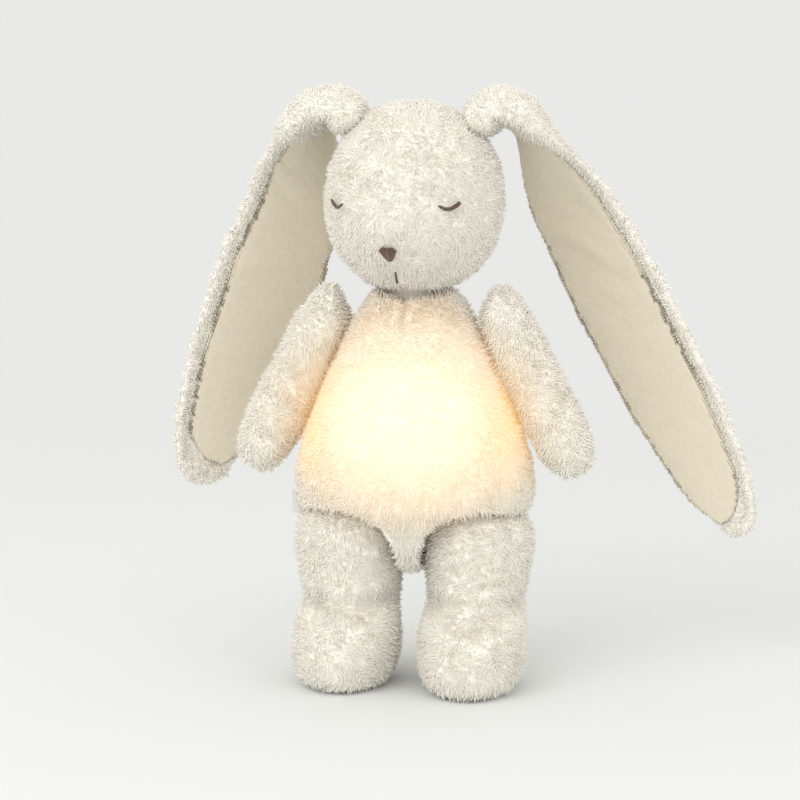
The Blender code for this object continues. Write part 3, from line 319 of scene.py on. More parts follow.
def let_light_through(tree, shader, place, cream, glow, glow_power, painted_chest_shade):
    """Warms and lights the pile: pale in the middle, orange at the sides, and with painted shade below the
    chin, warmed by the belly's light, if asked.
    """
    share = glow_share(tree, place, glow)
    parts = tree.parts(place)
    # Painted light: the pile takes the lit colour where the glow comes through it
    painted_light_and_shade = tree.maths("MINIMUM", tree.maths("MULTIPLY", share, 1.5), 1.0)
    if painted_chest_shade:
        # Painted shade below the chin, in the same lit colour, on the front only
        high = tree.ranged(parts["Z"], PAINTED_CHEST_SHADE_LOW, PAINTED_CHEST_SHADE_HIGH, 0.0, PAINTED_CHEST_SHADE_SHARE)
        front = tree.ranged(parts["Y"], -PAINTED_CHEST_SHADE_BACK, 0.0, 1.0, 0.0)
        painted_light_and_shade = tree.maths("MAXIMUM", painted_light_and_shade, tree.maths("MULTIPLY", high, front))
    lit = tree.add("ShaderNodeMix", {"Factor": painted_light_and_shade}, data_type="RGBA")
    tree.tree.links.new(cream, lit.inputs[6])
    lit.inputs[7].default_value = (*glow.skin, 1)
    tree.tree.links.new(lit.outputs[2], shader.inputs["Base Color"])
    beside = tree.maths("ABSOLUTE", tree.maths("SUBTRACT", parts["X"], BODY_X))
    widths = (MIDDLE_HALF_WIDTH, EDGE_HALF_WIDTH)
    inner = tree.ranged(beside, *widths, 1.0, 0.0, interpolation_type="SMOOTHSTEP")
    strong = tree.maths("MINIMUM", tree.maths("MULTIPLY", share, 1.7), 1.0)
    hue = tree.add("ShaderNodeMix", {"Factor": tree.maths("MULTIPLY", inner, strong)}, data_type="RGBA")
    hue.inputs[6].default_value = (*glow.edge, 1)
    hue.inputs[7].default_value = (*glow.middle, 1)
    tree.tree.links.new(hue.outputs[2], shader.inputs["Emission Color"])
    rim = tree.ranged(beside, RIM_START, RIM_END, 1.0, RIM_SHARE)
    power = tree.maths("MULTIPLY", tree.maths("MULTIPLY", share, glow.strength * glow_power), rim)
    tree.tree.links.new(power, shader.inputs["Emission Strength"])


def woven_material(name, colour, pitch, darker=0.90, shade=None):
    """Plain weave, with painted shade that darkens it towards the upper of the two heights in shade."""
    made, tree, shader, place = new_material(name, 0.88)
    shader.inputs["Sheen Weight"].default_value = 0.15
    shader.inputs["Specular IOR Level"].default_value = 0.2
    cloth = mottled(tree, place, colour, darker, 340.0)
    if shade:
        # Painted shade, darker towards the upper height
        painted_shade = tree.ranged(tree.parts(place)["Z"], *shade, 1.0, 0.86)
        cloth = tree.scaled(cloth, painted_shade)
    tree.tree.links.new(cloth, shader.inputs["Base Color"])
    yarns = []
    for direction in ("X", "Z"):
        wave = {"Vector": place, "Scale": 0.314 / pitch, "Distortion": 0.6, "Detail": 1.0}
        yarns.append(tree.add("ShaderNodeTexWave", wave, bands_direction=direction).outputs["Fac"])
    roughened(tree, shader, tree.maths("MULTIPLY", *yarns), pitch * 0.5, 0.7)
    return made


def plain_material(name, colour, roughness, metallic=0.0, grain=2200.0, depth=0.00008):
    """Moulded plastic, painted board or metal with a fine grain."""
    made, tree, shader, place = new_material(name, roughness, metallic)
    tree.tree.links.new(mottled(tree, place, colour, 0.95, 90.0), shader.inputs["Base Color"])
    fine = tree.add("ShaderNodeTexNoise", {"Vector": place, "Scale": grain, "Detail": 3.0})
    roughened(tree, shader, fine.outputs["Fac"], depth, 0.5)
    return made


def glowing_material(name, colour, strength, roughness):
    made, tree, shader, place = new_material(name, roughness)
    tree.tree.links.new(mottled(tree, place, colour, 0.92, 120.0), shader.inputs["Base Color"])
    shader.inputs["Emission Color"].default_value = (*colour, 1)
    shader.inputs["Emission Strength"].default_value = strength
    return made


# Forms taken from the frame
def merged_copy(node, name):
    """A new piece with the node's shape, its loose triangles joined."""
    made = bmesh.new()
    made.from_mesh(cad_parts[node].data)
    bmesh.ops.remove_doubles(made, verts=made.verts, dist=1e-6)
    mesh = bpy.data.meshes.new(name)
    made.to_mesh(mesh)
    made.free()
    piece = bpy.data.objects.new(name, mesh)
    bpy.context.scene.collection.objects.link(piece)
    return piece


def baked(piece):
    """The piece with its modifiers turned into its own mesh."""
    graph = bpy.context.evaluated_depsgraph_get()
    mesh = bpy.data.meshes.new_from_object(piece.evaluated_get(graph))
    piece.modifiers.clear()
    piece.data = mesh
    return piece


def softened(piece, voxel, rounds):
    """Even small faces all over the piece, and corners rounded off."""
    remesh = piece.modifiers.new("even_faces", "REMESH")
    remesh.mode = "VOXEL"
    remesh.voxel_size = voxel
    smooth = piece.modifiers.new("rounded", "SMOOTH")
    smooth.factor = 0.5
    smooth.iterations = rounds
    return baked(piece)


def lumpy(piece, sink, lump, pitch, crease=None):
    """Moves the skin in by sink and the crease's depth, with soft lumps of stuffing at the pitch."""
    normals = [vert.normal.copy() for vert in piece.data.vertices]
    for vert, normal in zip(piece.data.vertices, normals):
        rise = noise.noise(vert.co / pitch) * lump
        if crease:
            rise -= crease(vert.co)
        vert.co += normal * (rise - sink)
        vert.co.z = max(vert.co.z, LOWEST_SKIN)
    piece.data.update()


def tree_of(*nodes):
    """A search tree over these solids of the frame."""
    points, faces = [], []
    for name in nodes:
        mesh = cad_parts[name].data
        start = len(points)
        points += [vert.co for vert in mesh.vertices]
        faces += [[start + n for n in face.vertices] for face in mesh.polygons]
    return BVHTree.FromPolygons(points, faces)


def neighbours(node):
    """A search tree over all the frame's solids but this one."""
    return tree_of(*[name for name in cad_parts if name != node])


def room_above(piece, nearby, reach, least):
    """For each vertex, the free height over it as a share of the reach, and least at a neighbour."""
    shares = []
    for vert in piece.data.vertices:
        hit = nearby.ray_cast(vert.co, vert.normal, reach)
        free = reach if hit[3] is None else max(hit[3], least * reach)
        if vert.normal.z < -0.05:
            free = min(free, vert.co.z / -vert.normal.z)
        shares.append(free / reach)
    return shares


def set_share(piece, name, shares):
    attribute = piece.data.attributes.new(name, "FLOAT", "POINT")
    attribute.data.foreach_set("value", shares)


# Pile by Geometry Nodes
PILE_INPUTS = (
    ("Length", "NodeSocketFloat"), ("Width", "NodeSocketFloat"), ("Spacing", "NodeSocketFloat"),
    ("Lean", "NodeSocketFloat"), ("Seed", "NodeSocketInt"), ("Finish", "NodeSocketMaterial"),
)


def new_tree(name, inputs):
    nodes = bpy.data.node_groups.new(name, "GeometryNodeTree")
    nodes.interface.new_socket("Geometry", in_out="INPUT", socket_type="NodeSocketGeometry")
    for title, kind in inputs:
        nodes.interface.new_socket(title, in_out="INPUT", socket_type=kind)
    nodes.interface.new_socket("Geometry", in_out="OUTPUT", socket_type="NodeSocketGeometry")
    tree = Tree(nodes)
    return tree, tree.add("NodeGroupInput").outputs


def lock_shape(tree):
    """One lock of pile, a unit high: a three-sided taper bent over to one side."""
    cone = {"Vertices": 3, "Side Segments": 3, "Radius Top": 0.12, "Radius Bottom": 1.0, "Depth": 1.0}
    shape = tree.add("GeometryNodeMeshCone", cone, fill_type="NONE").outputs["Mesh"]
    height = tree.parts(tree.add("GeometryNodeInputPosition").outputs[0])["Z"]
    bend = tree.maths("MULTIPLY", tree.maths("POWER", height, 2.0), 1.9)
    offset = tree.add("ShaderNodeCombineXYZ", {"X": bend}).outputs[0]
    return tree.add("GeometryNodeSetPosition", {"Geometry": shape, "Offset": offset}).outputs[0]


def pile_tree():
    """Locks of pile over a skin, leaning in slow swirls and a little downwards."""
    tree, given = new_tree("pile_of_locks", PILE_INPUTS)
    share = tree.add("GeometryNodeInputNamedAttribute", {"Name": "room"}, data_type="FLOAT").outputs[0]
    enough = tree.add("FunctionNodeCompare", {0: share, 1: BARE_SHARE}, operation="GREATER_THAN").outputs[0]
    density = tree.maths("DIVIDE", 1.25, tree.maths("MULTIPLY", given["Spacing"], given["Spacing"]))
    spread = tree.add(
        "GeometryNodeDistributePointsOnFaces",
        {
            "Mesh": given["Geometry"], "Selection": enough, "Distance Min": given["Spacing"],
            "Density Max": density, "Seed": given["Seed"],
        },
        distribute_method="POISSON",
    )
    place = tree.add("GeometryNodeInputPosition").outputs[0]
    swirl = tree.add("ShaderNodeTexNoise", {"Vector": place, "Scale": 55.0, "Detail": 2.0}).outputs["Color"]
    drift = tree.scaled(tree.vector("SUBTRACT", swirl, (0.5, 0.5, 0.5)), 5.0)
    stray = tree.add(
        "FunctionNodeRandomValue", {0: (-0.5, -0.5, -0.5), 1: (0.5, 0.5, 0.5), "Seed": given["Seed"]},
        data_type="FLOAT_VECTOR",
    ).outputs[0]
    flat = tree.vector("ADD", tree.vector("ADD", drift, stray), (0, 0, -0.35))
    normal = spread.outputs["Normal"]
    inwards = tree.add("ShaderNodeVectorMath", {0: flat, 1: normal}, operation="DOT_PRODUCT")
    flat = tree.vector("SUBTRACT", flat, tree.scaled(normal, inwards.outputs["Value"]))
    upright = tree.scaled(normal, tree.maths("SUBTRACT", 1.0, given["Lean"]))
    way = tree.vector("ADD", upright, tree.scaled(flat, tree.maths("MULTIPLY", given["Lean"], 0.62)))
    aimed = tree.add("FunctionNodeAlignRotationToVector", {"Vector": way}, axis="Z").outputs[0]
    spin = tree.add("FunctionNodeRandomValue", {2: 0.0, 3: 6.283, "Seed": given["Seed"]}, data_type="FLOAT")
    turn = tree.add("ShaderNodeCombineXYZ", {"Z": spin.outputs[1]}).outputs[0]
    spun = tree.add("FunctionNodeRotateRotation", {0: aimed}, rotation_space="LOCAL")
    tree.tree.links.new(turn, spun.inputs[1])
    grow = tree.add("FunctionNodeRandomValue", {2: 0.7, 3: 1.15, "Seed": given["Seed"]}, data_type="FLOAT")
    tall = tree.maths("MULTIPLY", tree.maths("MULTIPLY", given["Length"], grow.outputs[1]), share)
    width = given["Width"]
    size = tree.add("ShaderNodeCombineXYZ", {"X": width, "Y": width, "Z": tall}).outputs[0]
    locks = tree.add(
        "GeometryNodeInstanceOnPoints",
        {
            "Points": spread.outputs["Points"], "Instance": lock_shape(tree),
            "Rotation": spun.outputs[0], "Scale": size,
        },
    ).outputs[0]
    whole = tree.add("GeometryNodeRealizeInstances", {"Geometry": locks}).outputs[0]
    smooth = tree.add("GeometryNodeSetShadeSmooth", {"Geometry": whole}).outputs[0]
    joined = tree.add("GeometryNodeJoinGeometry")
    tree.tree.links.new(smooth, joined.inputs[0])
    tree.tree.links.new(given["Geometry"], joined.inputs[0])
    raised = tree.vector("MAXIMUM", place, (-9, -9, LOWEST_LOCK))
    above = tree.add("GeometryNodeSetPosition", {"Geometry": joined.outputs[0], "Position": raised})
    finish = {"Geometry": above.outputs[0], "Material": given["Finish"]}
    done = tree.add("GeometryNodeSetMaterial", finish).outputs[0]
    tree.add("NodeGroupOutput", {"Geometry": done})
    return tree.tree


def set_inputs(modifier, values):
    """Sets the modifier's inputs by their sockets' identifiers."""
    for socket in modifier.node_group.interface.items_tree:
        if socket.in_out == "INPUT" and socket.name in values:
            modifier[socket.identifier] = values[socket.name]


def grow_pile(piece, pile, finish, seed, length_share):
    """Grows pile on the piece's skin and keeps it as plain mesh."""
    nodes = bpy.data.node_groups.get("pile_of_locks") or pile_tree()
    modifier = piece.modifiers.new("pile", "NODES")
    modifier.node_group = nodes
    set_inputs(modifier, {
        "Length": pile.length * length_share, "Width": pile.width, "Spacing": pile.spacing,
        "Lean": pile.lean, "Seed": seed, "Finish": finish,
    })
    baked(piece)
    piece.data.materials.clear()
    piece.data.materials.append(finish)
    return piece


def plush(
    node, body, finish, seed, keep=None, crease=None, least=0.45, lump=0.0010, sunk=1.0,
    length_share=1.0,
):
    """A stuffed piece with pile on it, in place of its CAD solid."""
    pile = bpy.context.scene.pile_settings
    piece = softened(merged_copy(node, f"{node}_plush"), SKIN_FACE, SKIN_ROUNDS)
    lumpy(piece, pile.sink * sunk, lump, LUMP_PITCH, crease)
    shares = room_above(piece, neighbours(node), pile.length, least)
    if keep:
        shares = [share * keep(vert.co) for share, vert in zip(shares, piece.data.vertices)]
    set_share(piece, "room", shares)
    grow_pile(piece, pile, finish, seed, length_share)
    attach(piece, body)
    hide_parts(node)
    return piece


# Cloth, stitches and hard pieces
def cloth_copy(node, name, voxel, rounds, fold=0.0, pitch=0.012):
    """A soft copy of a cloth node, folded a little across its length."""
    piece = softened(merged_copy(node, name), voxel, rounds)
    if fold:
        lumpy(piece, 0.0, fold, pitch)
    return piece


def dress(piece, node, body, finish):
    piece.data.materials.clear()
    piece.data.materials.append(finish)
    piece.data.shade_smooth()
    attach(piece, body)
    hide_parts(node)
    return piece


def tube_tree():
    """A round thread along a wire of edges, with its ends closed."""
    tree, given = new_tree("thread_tube", (("Radius", "NodeSocketFloat"), ("Finish", "NodeSocketMaterial")))
    line = tree.add("GeometryNodeMeshToCurve", {"Mesh": given["Geometry"]}).outputs[0]
    circle = {"Resolution": 6, "Radius": given["Radius"]}
    ring = tree.add("GeometryNodeCurvePrimitiveCircle", circle).outputs[0]
    tube = tree.add("GeometryNodeCurveToMesh", {"Curve": line, "Profile Curve": ring, "Fill Caps": True})
    smooth = tree.add("GeometryNodeSetShadeSmooth", {"Geometry": tube.outputs[0]}).outputs[0]
    whole = tree.add("GeometryNodeRealizeInstances", {"Geometry": smooth}).outputs[0]
    finish = tree.add("GeometryNodeSetMaterial", {"Geometry": whole, "Material": given["Finish"]})
    tree.add("NodeGroupOutput", {"Geometry": finish.outputs[0]})
    return tree.tree


def threads(name, lines, radius, finish):
    """One piece of round threads, each line a list of points."""
    points, edges = [], []
    for line in lines:
        start = len(points)
        points += line
        edges += [(start + n, start + n + 1) for n in range(len(line) - 1)]
    mesh = bpy.data.meshes.new(name)
    mesh.from_pydata(points, edges, [])
    piece = bpy.data.objects.new(name, mesh)
    bpy.context.scene.collection.objects.link(piece)
    modifier = piece.modifiers.new("tube", "NODES")
    modifier.node_group = bpy.data.node_groups.get("thread_tube") or tube_tree()
    set_inputs(modifier, {"Radius": radius, "Finish": finish})
    baked(piece)
    piece.data.materials.clear()
    piece.data.materials.append(finish)
    return piece


def middle_of(node):
    low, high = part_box(node)
    return (low + high) / 2


def on_face(tree, x, z, lift):
    """A point over the face, x across and z up from the head's foot, seen square to the turned face."""
    origin = Vector((BODY_X, 0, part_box("head")[0].z)) + FACE_TURN @ Vector((x, -0.2, 0)) + Vector((0, 0, z))
    place, normal, _, _ = tree.ray_cast(origin, FACE_TURN @ Vector((0, 1, 0)))
    return place + normal * lift


def clear_of_face(features, near, far):
    """A function that gives no pile near the stitches and full pile beyond."""

    def keep(place):
        return between(features.find_nearest(place)[3], near, far)

    return keep


def between(value, low, high):
    """Nothing up to the low value, one from the high value on."""
    return min(1.0, max(0.0, (value - low) / (high - low)))


def hollow(distance, width):
    """One on a line and nothing beyond its width, with a soft bottom."""
    share = max(0.0, 1 - abs(distance) / width)
    return share * share * (3 - 2 * share)


def leg_shape(side):
    """Depth under the leg's skin: a fold over the foot, and a fuller thigh that meets the torso's edge."""
    low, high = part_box(f"leg_{side}")
    middle = Vector(((low.x + high.x) / 2, high.y - 0.034, 0))
    ankle = low.z + (high.z - low.z) * ANKLE_SHARE
    hip = low.z + (high.z - low.z) * HIP_SHARE

    def depth(place):
        forward = middle.y - place.y
        line = ankle - ANKLE_SLOPE * max(0.0, forward - 0.030)
        fold = ANKLE_FOLD * between(forward, 0, 0.020) * hollow(place.z - line, 0.010)
        around = max(between((place.x - middle.x) * SIDES[side], 0, 0.030), 0.6)
        return fold - THIGH_ROLL * around * hollow(place.z - hip, THIGH_REACH)

    return depth


def clear_of_pocket(flap_low, flap_high):
    """A function that gives no pile in the pocket and under its flap, and full pile elsewhere."""

    def keep(place):
        across = Vector((place.x - POCKET_CENTRE.x, place.z - POCKET_CENTRE.z)).length
        in_pocket = across < POCKET_RADIUS + POCKET_MARGIN and place.y > POCKET_LOW.y
        in_line = flap_low.x < place.x < flap_high.x and flap_low.z < place.z < flap_high.z
        under_flap = in_line and place.y > flap_low.y - FLAP_MARGIN
        return 0.0 if in_pocket or under_flap else 1.0

    return keep


def torso_shape(place):
    """Depth under the torso's skin: its lower edge turned in, and the short pinch under the chin."""
    edge = HEM_DEPTH * hollow(place.z - HEM, 0.016)
    if place.y > 0:
        return edge
    pinch = hollow(place.x - PINCH_X, 0.006) * hollow(place.z - PINCH_HEIGHT, 0.022)
    return edge + PINCH_DEPTH * pinch


def parted(tree, keep):
    """The pile's share from keep, shorter along the parting between the eyes."""
    start, step, sway = 0.040, 0.0036, 0.0008
    line = [on_face(tree, sway * sin(n) - 0.0006, start + step * n, 0.0) for n in range(9)]

    def share(place):
        distance = min((place - point).length for point in line)
        return keep(place) * (1 - PARTING_SHARE * hollow(distance, PARTING_WIDTH))

    return share


# Pieces
class NIGHT_OT_head(bpy.types.Operator):
    """Makes the stuffed head with its pile"""

    bl_idname = "night_light.head"
    bl_label = "Head"

    def execute(self, context):
        finish = pile_material("head_pile", context.scene.pile_settings)
        keep = parted(tree_of("head"), clear_of_face(tree_of(*FEATURES), FACE_NEAR, FACE_CLEAR))
        plush("head", "head_body", finish, 11, keep=keep, length_share=0.9)
        return {"FINISHED"}


class NIGHT_OT_torso(bpy.types.Operator):
    """Makes the torso, lit from inside, and the tail"""

    bl_idname = "night_light.torso"
    bl_label = "Torso and tail"

    def execute(self, context):
        scene = context.scene
        # The belly's pile, with its glow and with painted shade below the chin
        finish = pile_material("belly_pile", scene.pile_settings, scene.glow_settings, painted_chest_shade=True)
        keep = clear_of_pocket(*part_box("back_flap"))
        plush("torso", "torso_body", finish, 21, keep=keep, crease=torso_shape)
        cream = pile_material("tail_pile", scene.pile_settings)
        plush("tail", "torso_body", cream, 22)
        return {"FINISHED"}


class NIGHT_OT_limbs(bpy.types.Operator):
    """Makes the arms and legs"""

    bl_idname = "night_light.limbs"
    bl_label = "Arms and legs"

    def execute(self, context):
        scene = context.scene
        arm_finish = pile_material("arm_pile", scene.pile_settings, scene.glow_settings, ARM_GLOW)
        leg_finish = pile_material("leg_pile", scene.pile_settings, scene.glow_settings, LEG_GLOW)
        for seed, side in enumerate(SIDES, start=31):
            plush(f"arm_{side}", f"arm_{side}_body", arm_finish, seed)
            plush(
                f"leg_{side}", f"leg_{side}_body", leg_finish, seed + 10,
                crease=leg_shape(side),
            )
        return {"FINISHED"}


class NIGHT_OT_ears(bpy.types.Operator):
    """Makes the ears: a furry back and a woven lining"""

    bl_idname = "night_light.ears"
    bl_label = "Ears"

    def execute(self, context):
        scene = context.scene
        cloth = scene.cloth_settings
        pile = pile_material("ear_pile", scene.pile_settings)
        low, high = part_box("ear_lining_left")
        # The lining gets painted shade towards its top, under the roll of the ear's root
        woven = woven_material("ear_weave", cloth.colour, cloth.weave, 0.93, (low.z, high.z))
        for seed, side in enumerate(SIDES, start=51):
            body = f"ear_{side}_body"
            plush(
                f"ear_back_{side}", body, pile, seed, crease=ear_shape(side),
                least=0.0, lump=0.0003, sunk=0.35, length_share=0.8,
            )
            node = f"ear_lining_{side}"
            lining = cloth_copy(node, f"{node}_cloth", LINING_FACE, 8)
            rounded_tip(lining, LINING_TIP)
            wrinkled(lining, cloth.wrinkle)
            dress(lining, node, body, woven)
        return {"FINISHED"}


def ear_shape(side):
    """Depth under the ear's skin, less than none at the soft root and at the border round the lining."""
    low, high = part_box(f"ear_back_{side}")
    root = high.x if side == "right" else low.x
    middle = Vector((root + SIDES[side] * 0.024, low.y + 0.022, high.z - 0.010))
    lining = tree_of(f"ear_lining_{side}")

    def depth(place):
        border = between(lining.find_nearest(place)[3], 0.0025, 0.0060)
        return -EAR_ROOT_ROLL * hollow((place - middle).length, EAR_ROOT_REACH) - EAR_BORDER_ROLL * border

    return depth


def rounded_tip(lining, reach):
    """Narrows the lining's straight lower end to a round one over the reach."""
    verts = lining.data.vertices
    low = min(vert.co.z for vert in verts)
    ends = []
    for start in (0.004, 0.050):
        ring = [vert.co for vert in verts if start <= vert.co.z - low < start + 0.006]
        ends.append(sum(ring, Vector()) / len(ring))
    tip, above = ends
    along = (above - tip).normalized()
    end = min((vert.co - tip).dot(along) for vert in verts)
    for vert in verts:
        rise = (vert.co - tip).dot(along)
        centre = tip + along * rise
        share = min(1.0, (rise - end) / reach)
        vert.co = centre + (vert.co - centre) * (1 - (1 - share) ** 2) ** 0.5
    lining.data.update()


def wrinkled(lining, height):
    """Folds across the cloth, deepest at its gathered top and gone at its tip."""
    low, high = [edge(vert.co.z for vert in lining.data.vertices) for edge in (min, max)]
    normals = [vert.normal.copy() for vert in lining.data.vertices]
    for vert, normal in zip(lining.data.vertices, normals):
        up = (vert.co.z - low) / (high - low)
        sway = noise.noise(Vector((vert.co.x * 18, 0, vert.co.z * 9)))
        place = Vector((vert.co.x * 14, vert.co.y * 14, vert.co.z * 46 + vert.co.x * 20 + sway * 1.2))
        fold = max(0.0, noise.noise(place)) * 1.7 + noise.noise(place * 2.6) * 0.16
        gathered = 0.10 + 0.90 * between(up, 0.35, 0.80) ** 1.5
        front = max(0.0, -normal.y)
        tuck = LINING_BACK if normal.y > 0.3 else -LINING_SUNK
        border = LINING_BORDER * max(0.0, 1 - abs(normal.y) / 0.7)
        vert.co += normal * (fold * height * gathered * front + tuck + border)
    lining.data.update()


class NIGHT_OT_face(bpy.types.Operator):
    """Stitches the nose, the mouth and the closed eyes"""

    bl_idname = "night_light.face"
    bl_label = "Face"

    def execute(self, context):
        stitch = context.scene.stitch_settings
        finish = plain_material("brown_floss", stitch.colour, 0.55, grain=3000.0, depth=0.00012)
        finish.node_tree.nodes["Principled BSDF"].inputs["Sheen Weight"].default_value = 0.3
        tree = tree_of("head")
        stitched("nose", satin_nose(tree, stitch), stitch, finish)
        stitched("mouth", mouth_line(tree, stitch), stitch, finish)
        for side in SIDES:
            stitched(f"eye_{side}", closed_eye(tree, side, stitch), stitch, finish)
        return {"FINISHED"}


def satin_nose(tree, stitch):
    """Upright stitches side by side inside a rounded triangle, point down."""
    low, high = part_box("nose")
    half_width = (high.x - low.x) / 2
    _, middle = face_place("nose")
    half_height = (high.z - low.z) / 2
    rows = int(2 * half_width / (stitch.thread * NOSE_STITCH_GAP))
    lines = []
    for n in range(rows + 1):
        across = 2 * n / rows - 1
        top = half_height * (0.95 - 0.40 * across**6 - 0.08 * (1 - abs(across)) ** 3)
        bottom = half_height * (0.40 - 1.40 * (1 - abs(across) ** 1.7))
        line = []
        for step in range(7):
            share = step / 6
            bulge = NOSE_BULGE * sin(pi * share) * (1 - 0.5 * across * across)
            z = middle + bottom + (top - bottom) * share
            line.append(on_face(tree, across * half_width, z, NOSE_LIFT + bulge))
        lines.append(line)
    return lines


def face_place(node):
    """The middle of a feature as its place across and up the face."""
    middle = middle_of(node)
    across = (FACE_TURN.inverted() @ (middle - Vector((BODY_X, 0, 0)))).x
    return across, middle.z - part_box("head")[0].z


def satin_band(tree, spine, widths, stitch):
    """Short stitches side by side across a line over the face."""
    lines = []
    for here, ahead, width in zip(spine, spine[1:], widths):
        place, normal, _, _ = tree.find_nearest(here)
        normal = outward(normal, here - place)
        across = (ahead - here).cross(normal).normalized() * width / 2
        crown = here + normal * stitch.thread * BAND_CROWN
        lines.append([here - across, crown, here + across])
    return lines


def closed_eye(tree, side, stitch):
    """A sleepy arc, thicker and turned up at its outer end."""
    middle, height = face_place(f"eye_{side}")
    half, sag = stitch.eye_width / 2, stitch.eye_width * EYE_SAG
    count = int(stitch.eye_width * 1.4 / stitch.thread)
    arc, widths = [], []
    for n in range(count + 1):
        share = 2 * n / count - 1
        outer = share * SIDES[side]
        rise = sag * (share * share - 0.5) + stitch.eye_width * EYE_TILT * outer
        arc.append(on_face(tree, middle + share * half, height + rise, EYE_LIFT))
        widths.append(stitch.band * (1 + 0.3 * outer) * (1 - 0.5 * share**8))
    return satin_band(tree, arc, widths, stitch)


def mouth_line(tree, stitch):
    """One short slanted line of stitches under the nose, thinner at its top."""
    across, height = face_place("nose")
    spine, widths = [], []
    for n in range(15):
        share = 1 - n / 7
        x = across + 0.0004 + MOUTH_LEAN * share
        z = height - MOUTH_DROP + MOUTH_HALF_LENGTH * share
        spine.append(on_face(tree, x, z, MOUTH_LIFT))
        widths.append(stitch.band * (0.55 - 0.22 * share))
    return satin_band(tree, spine, widths, stitch)


def stitched(node, lines, stitch, finish):
    piece = threads(f"{node}_stitches", lines, stitch.thread, finish)
    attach(piece, "head_body")
    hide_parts(node)


def outward(normal, way):
    """The normal, turned round if it points against the way out."""
    return normal if normal.dot(way) >= 0 else -normal


class NIGHT_OT_pocket(bpy.types.Operator):
    """Makes the neck, the pocket, its flap and strips, and the blank side label"""

    bl_idname = "night_light.pocket"
    bl_label = "Pocket, flap and label"

    def execute(self, context):
        scene = context.scene
        woven = woven_material("pocket_weave", (0.80, 0.76, 0.68), 0.0008)
        tape = woven_material("label_tape", (0.84, 0.82, 0.77), 0.0005)
        pile = pile_material("flap_pile", scene.pile_settings)
        plush("back_flap", "flap_body", pile, 61, least=0.0)
        neck = cloth_copy("neck", "neck_cloth", 0.0015, 2, 0.0003, 0.006)
        dress(neck, "neck", "neck_body", woven)
        liner = merged_copy("pocket_liner", "pocket_liner_cloth")
        dress(liner, "pocket_liner", "torso_body", woven)
        label = cloth_copy("side_label", "side_label_cloth", 0.0004, 3)
        dress(label, "side_label", "torso_body", tape)
        for node, body in (("hook_strip", "flap_body"), ("loop_strip", "torso_body")):
            strip = cloth_copy(node, f"{node}_tape", 0.0004, 2)
            dress(strip, node, body, tape)
        pad = cloth_copy("battery_pad", "battery_pad_foam", 0.0004, 2)
        foam = plain_material("grey_foam", (0.24, 0.24, 0.25), 0.95, grain=1500.0, depth=0.0004)
        dress(pad, "battery_pad", "torso_body", foam)
        return {"FINISHED"}


class NIGHT_OT_module(bpy.types.Operator):
    """Finishes the light module's hard pieces"""

    bl_idname = "night_light.module"
    bl_label = "Light module"

    def execute(self, context):
        white = plain_material("moulded_white", (0.86, 0.86, 0.84), 0.42)
        steel = plain_material("plated_steel", (0.60, 0.60, 0.60), 0.3, 1.0, 900.0, 0.00003)
        black = plain_material("moulded_black", (0.03, 0.03, 0.03), 0.5)
        green = plain_material("solder_mask", (0.03, 0.22, 0.09), 0.4, grain=700.0)
        red = plain_material("shrink_wrap", (0.50, 0.04, 0.03), 0.35, grain=500.0)
        frosted = glowing_material("frosted_diffuser", (0.98, 0.88, 0.62), 0.8, 0.5)
        phosphor = glowing_material("diode_phosphor", (1.0, 0.82, 0.40), 2.0, 0.3)
        finishes = {"rear_housing": white, "circuit_board": green, "diffuser": frosted, "battery_cell": red}
        for name in ("power_button", "volume_up_button", "volume_down_button"):
            finishes[name] = white
        for name in ("speaker_frame", "speaker_magnet", "charging_socket"):
            finishes[name] = steel
        for name in ("speaker_cone", "mode_slider", "battery_lead", "speaker_lead"):
            finishes[name] = black
        for n in range(1, 5):
            finishes[f"light_diode_{n}"] = phosphor
            finishes[f"housing_screw_{n}"] = steel
        for name, finish in finishes.items():
            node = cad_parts[name]
            node.data.materials.clear()
            node.data.materials.append(finish)
        return {"FINISHED"}


class NIGHT_OT_stage(bpy.types.Operator):
    """Sets the floor, the soft lamps and the camera"""

    bl_idname = "night_light.stage"
    bl_label = "Stage"

    def execute(self, context):
        make_floor()
        make_world(0.98)
        aim = Vector((BODY_X - 0.009, 0, 0.180))
        soft_lamp("key", (-0.9, -1.6, 1.5), aim, 1.8, 16.0)
        soft_lamp("fill", (1.6, -1.2, 0.9), aim, 1.8, 5.0)
        soft_lamp("front", (0.2, -2.0, 0.25), aim, 1.2, 4.0)
        make_camera(aim, azimuth=9.0, elevation=8.0, lens=120.0, width=0.512)
        context.scene.view_settings.view_transform = "Standard"
        return {"FINISHED"}


def make_floor():
    """A pale floor near the toy that fades into the backdrop's colour further off."""
    made = bmesh.new()
    bmesh.ops.create_grid(made, x_segments=2, y_segments=2, size=6.0)
    mesh = bpy.data.meshes.new("floor")
    made.to_mesh(mesh)
    made.free()
    floor = bpy.data.objects.new("floor", mesh)
    bpy.context.scene.collection.objects.link(floor)
    finish, tree, shader, place = new_material("pale_floor", 1.0)
    shader.inputs["Specular IOR Level"].default_value = 0.0
    length = tree.add("ShaderNodeVectorMath", {0: place}, operation="LENGTH").outputs["Value"]
    far = tree.ranged(length, FLOOR_NEAR, FLOOR_FAR, interpolation_type="SMOOTHERSTEP")
    colour = tree.add("ShaderNodeMix", {"Factor": far}, data_type="RGBA")
    colour.inputs[6].default_value = (*FLOOR_COLOUR, 1)
    colour.inputs[7].default_value = (0, 0, 0, 1)
    tree.tree.links.new(colour.outputs[2], shader.inputs["Base Color"])
    shader.inputs["Emission Color"].default_value = (*BACKDROP_COLOUR, 1)
    tree.tree.links.new(far, shader.inputs["Emission Strength"])
    floor.data.materials.append(finish)


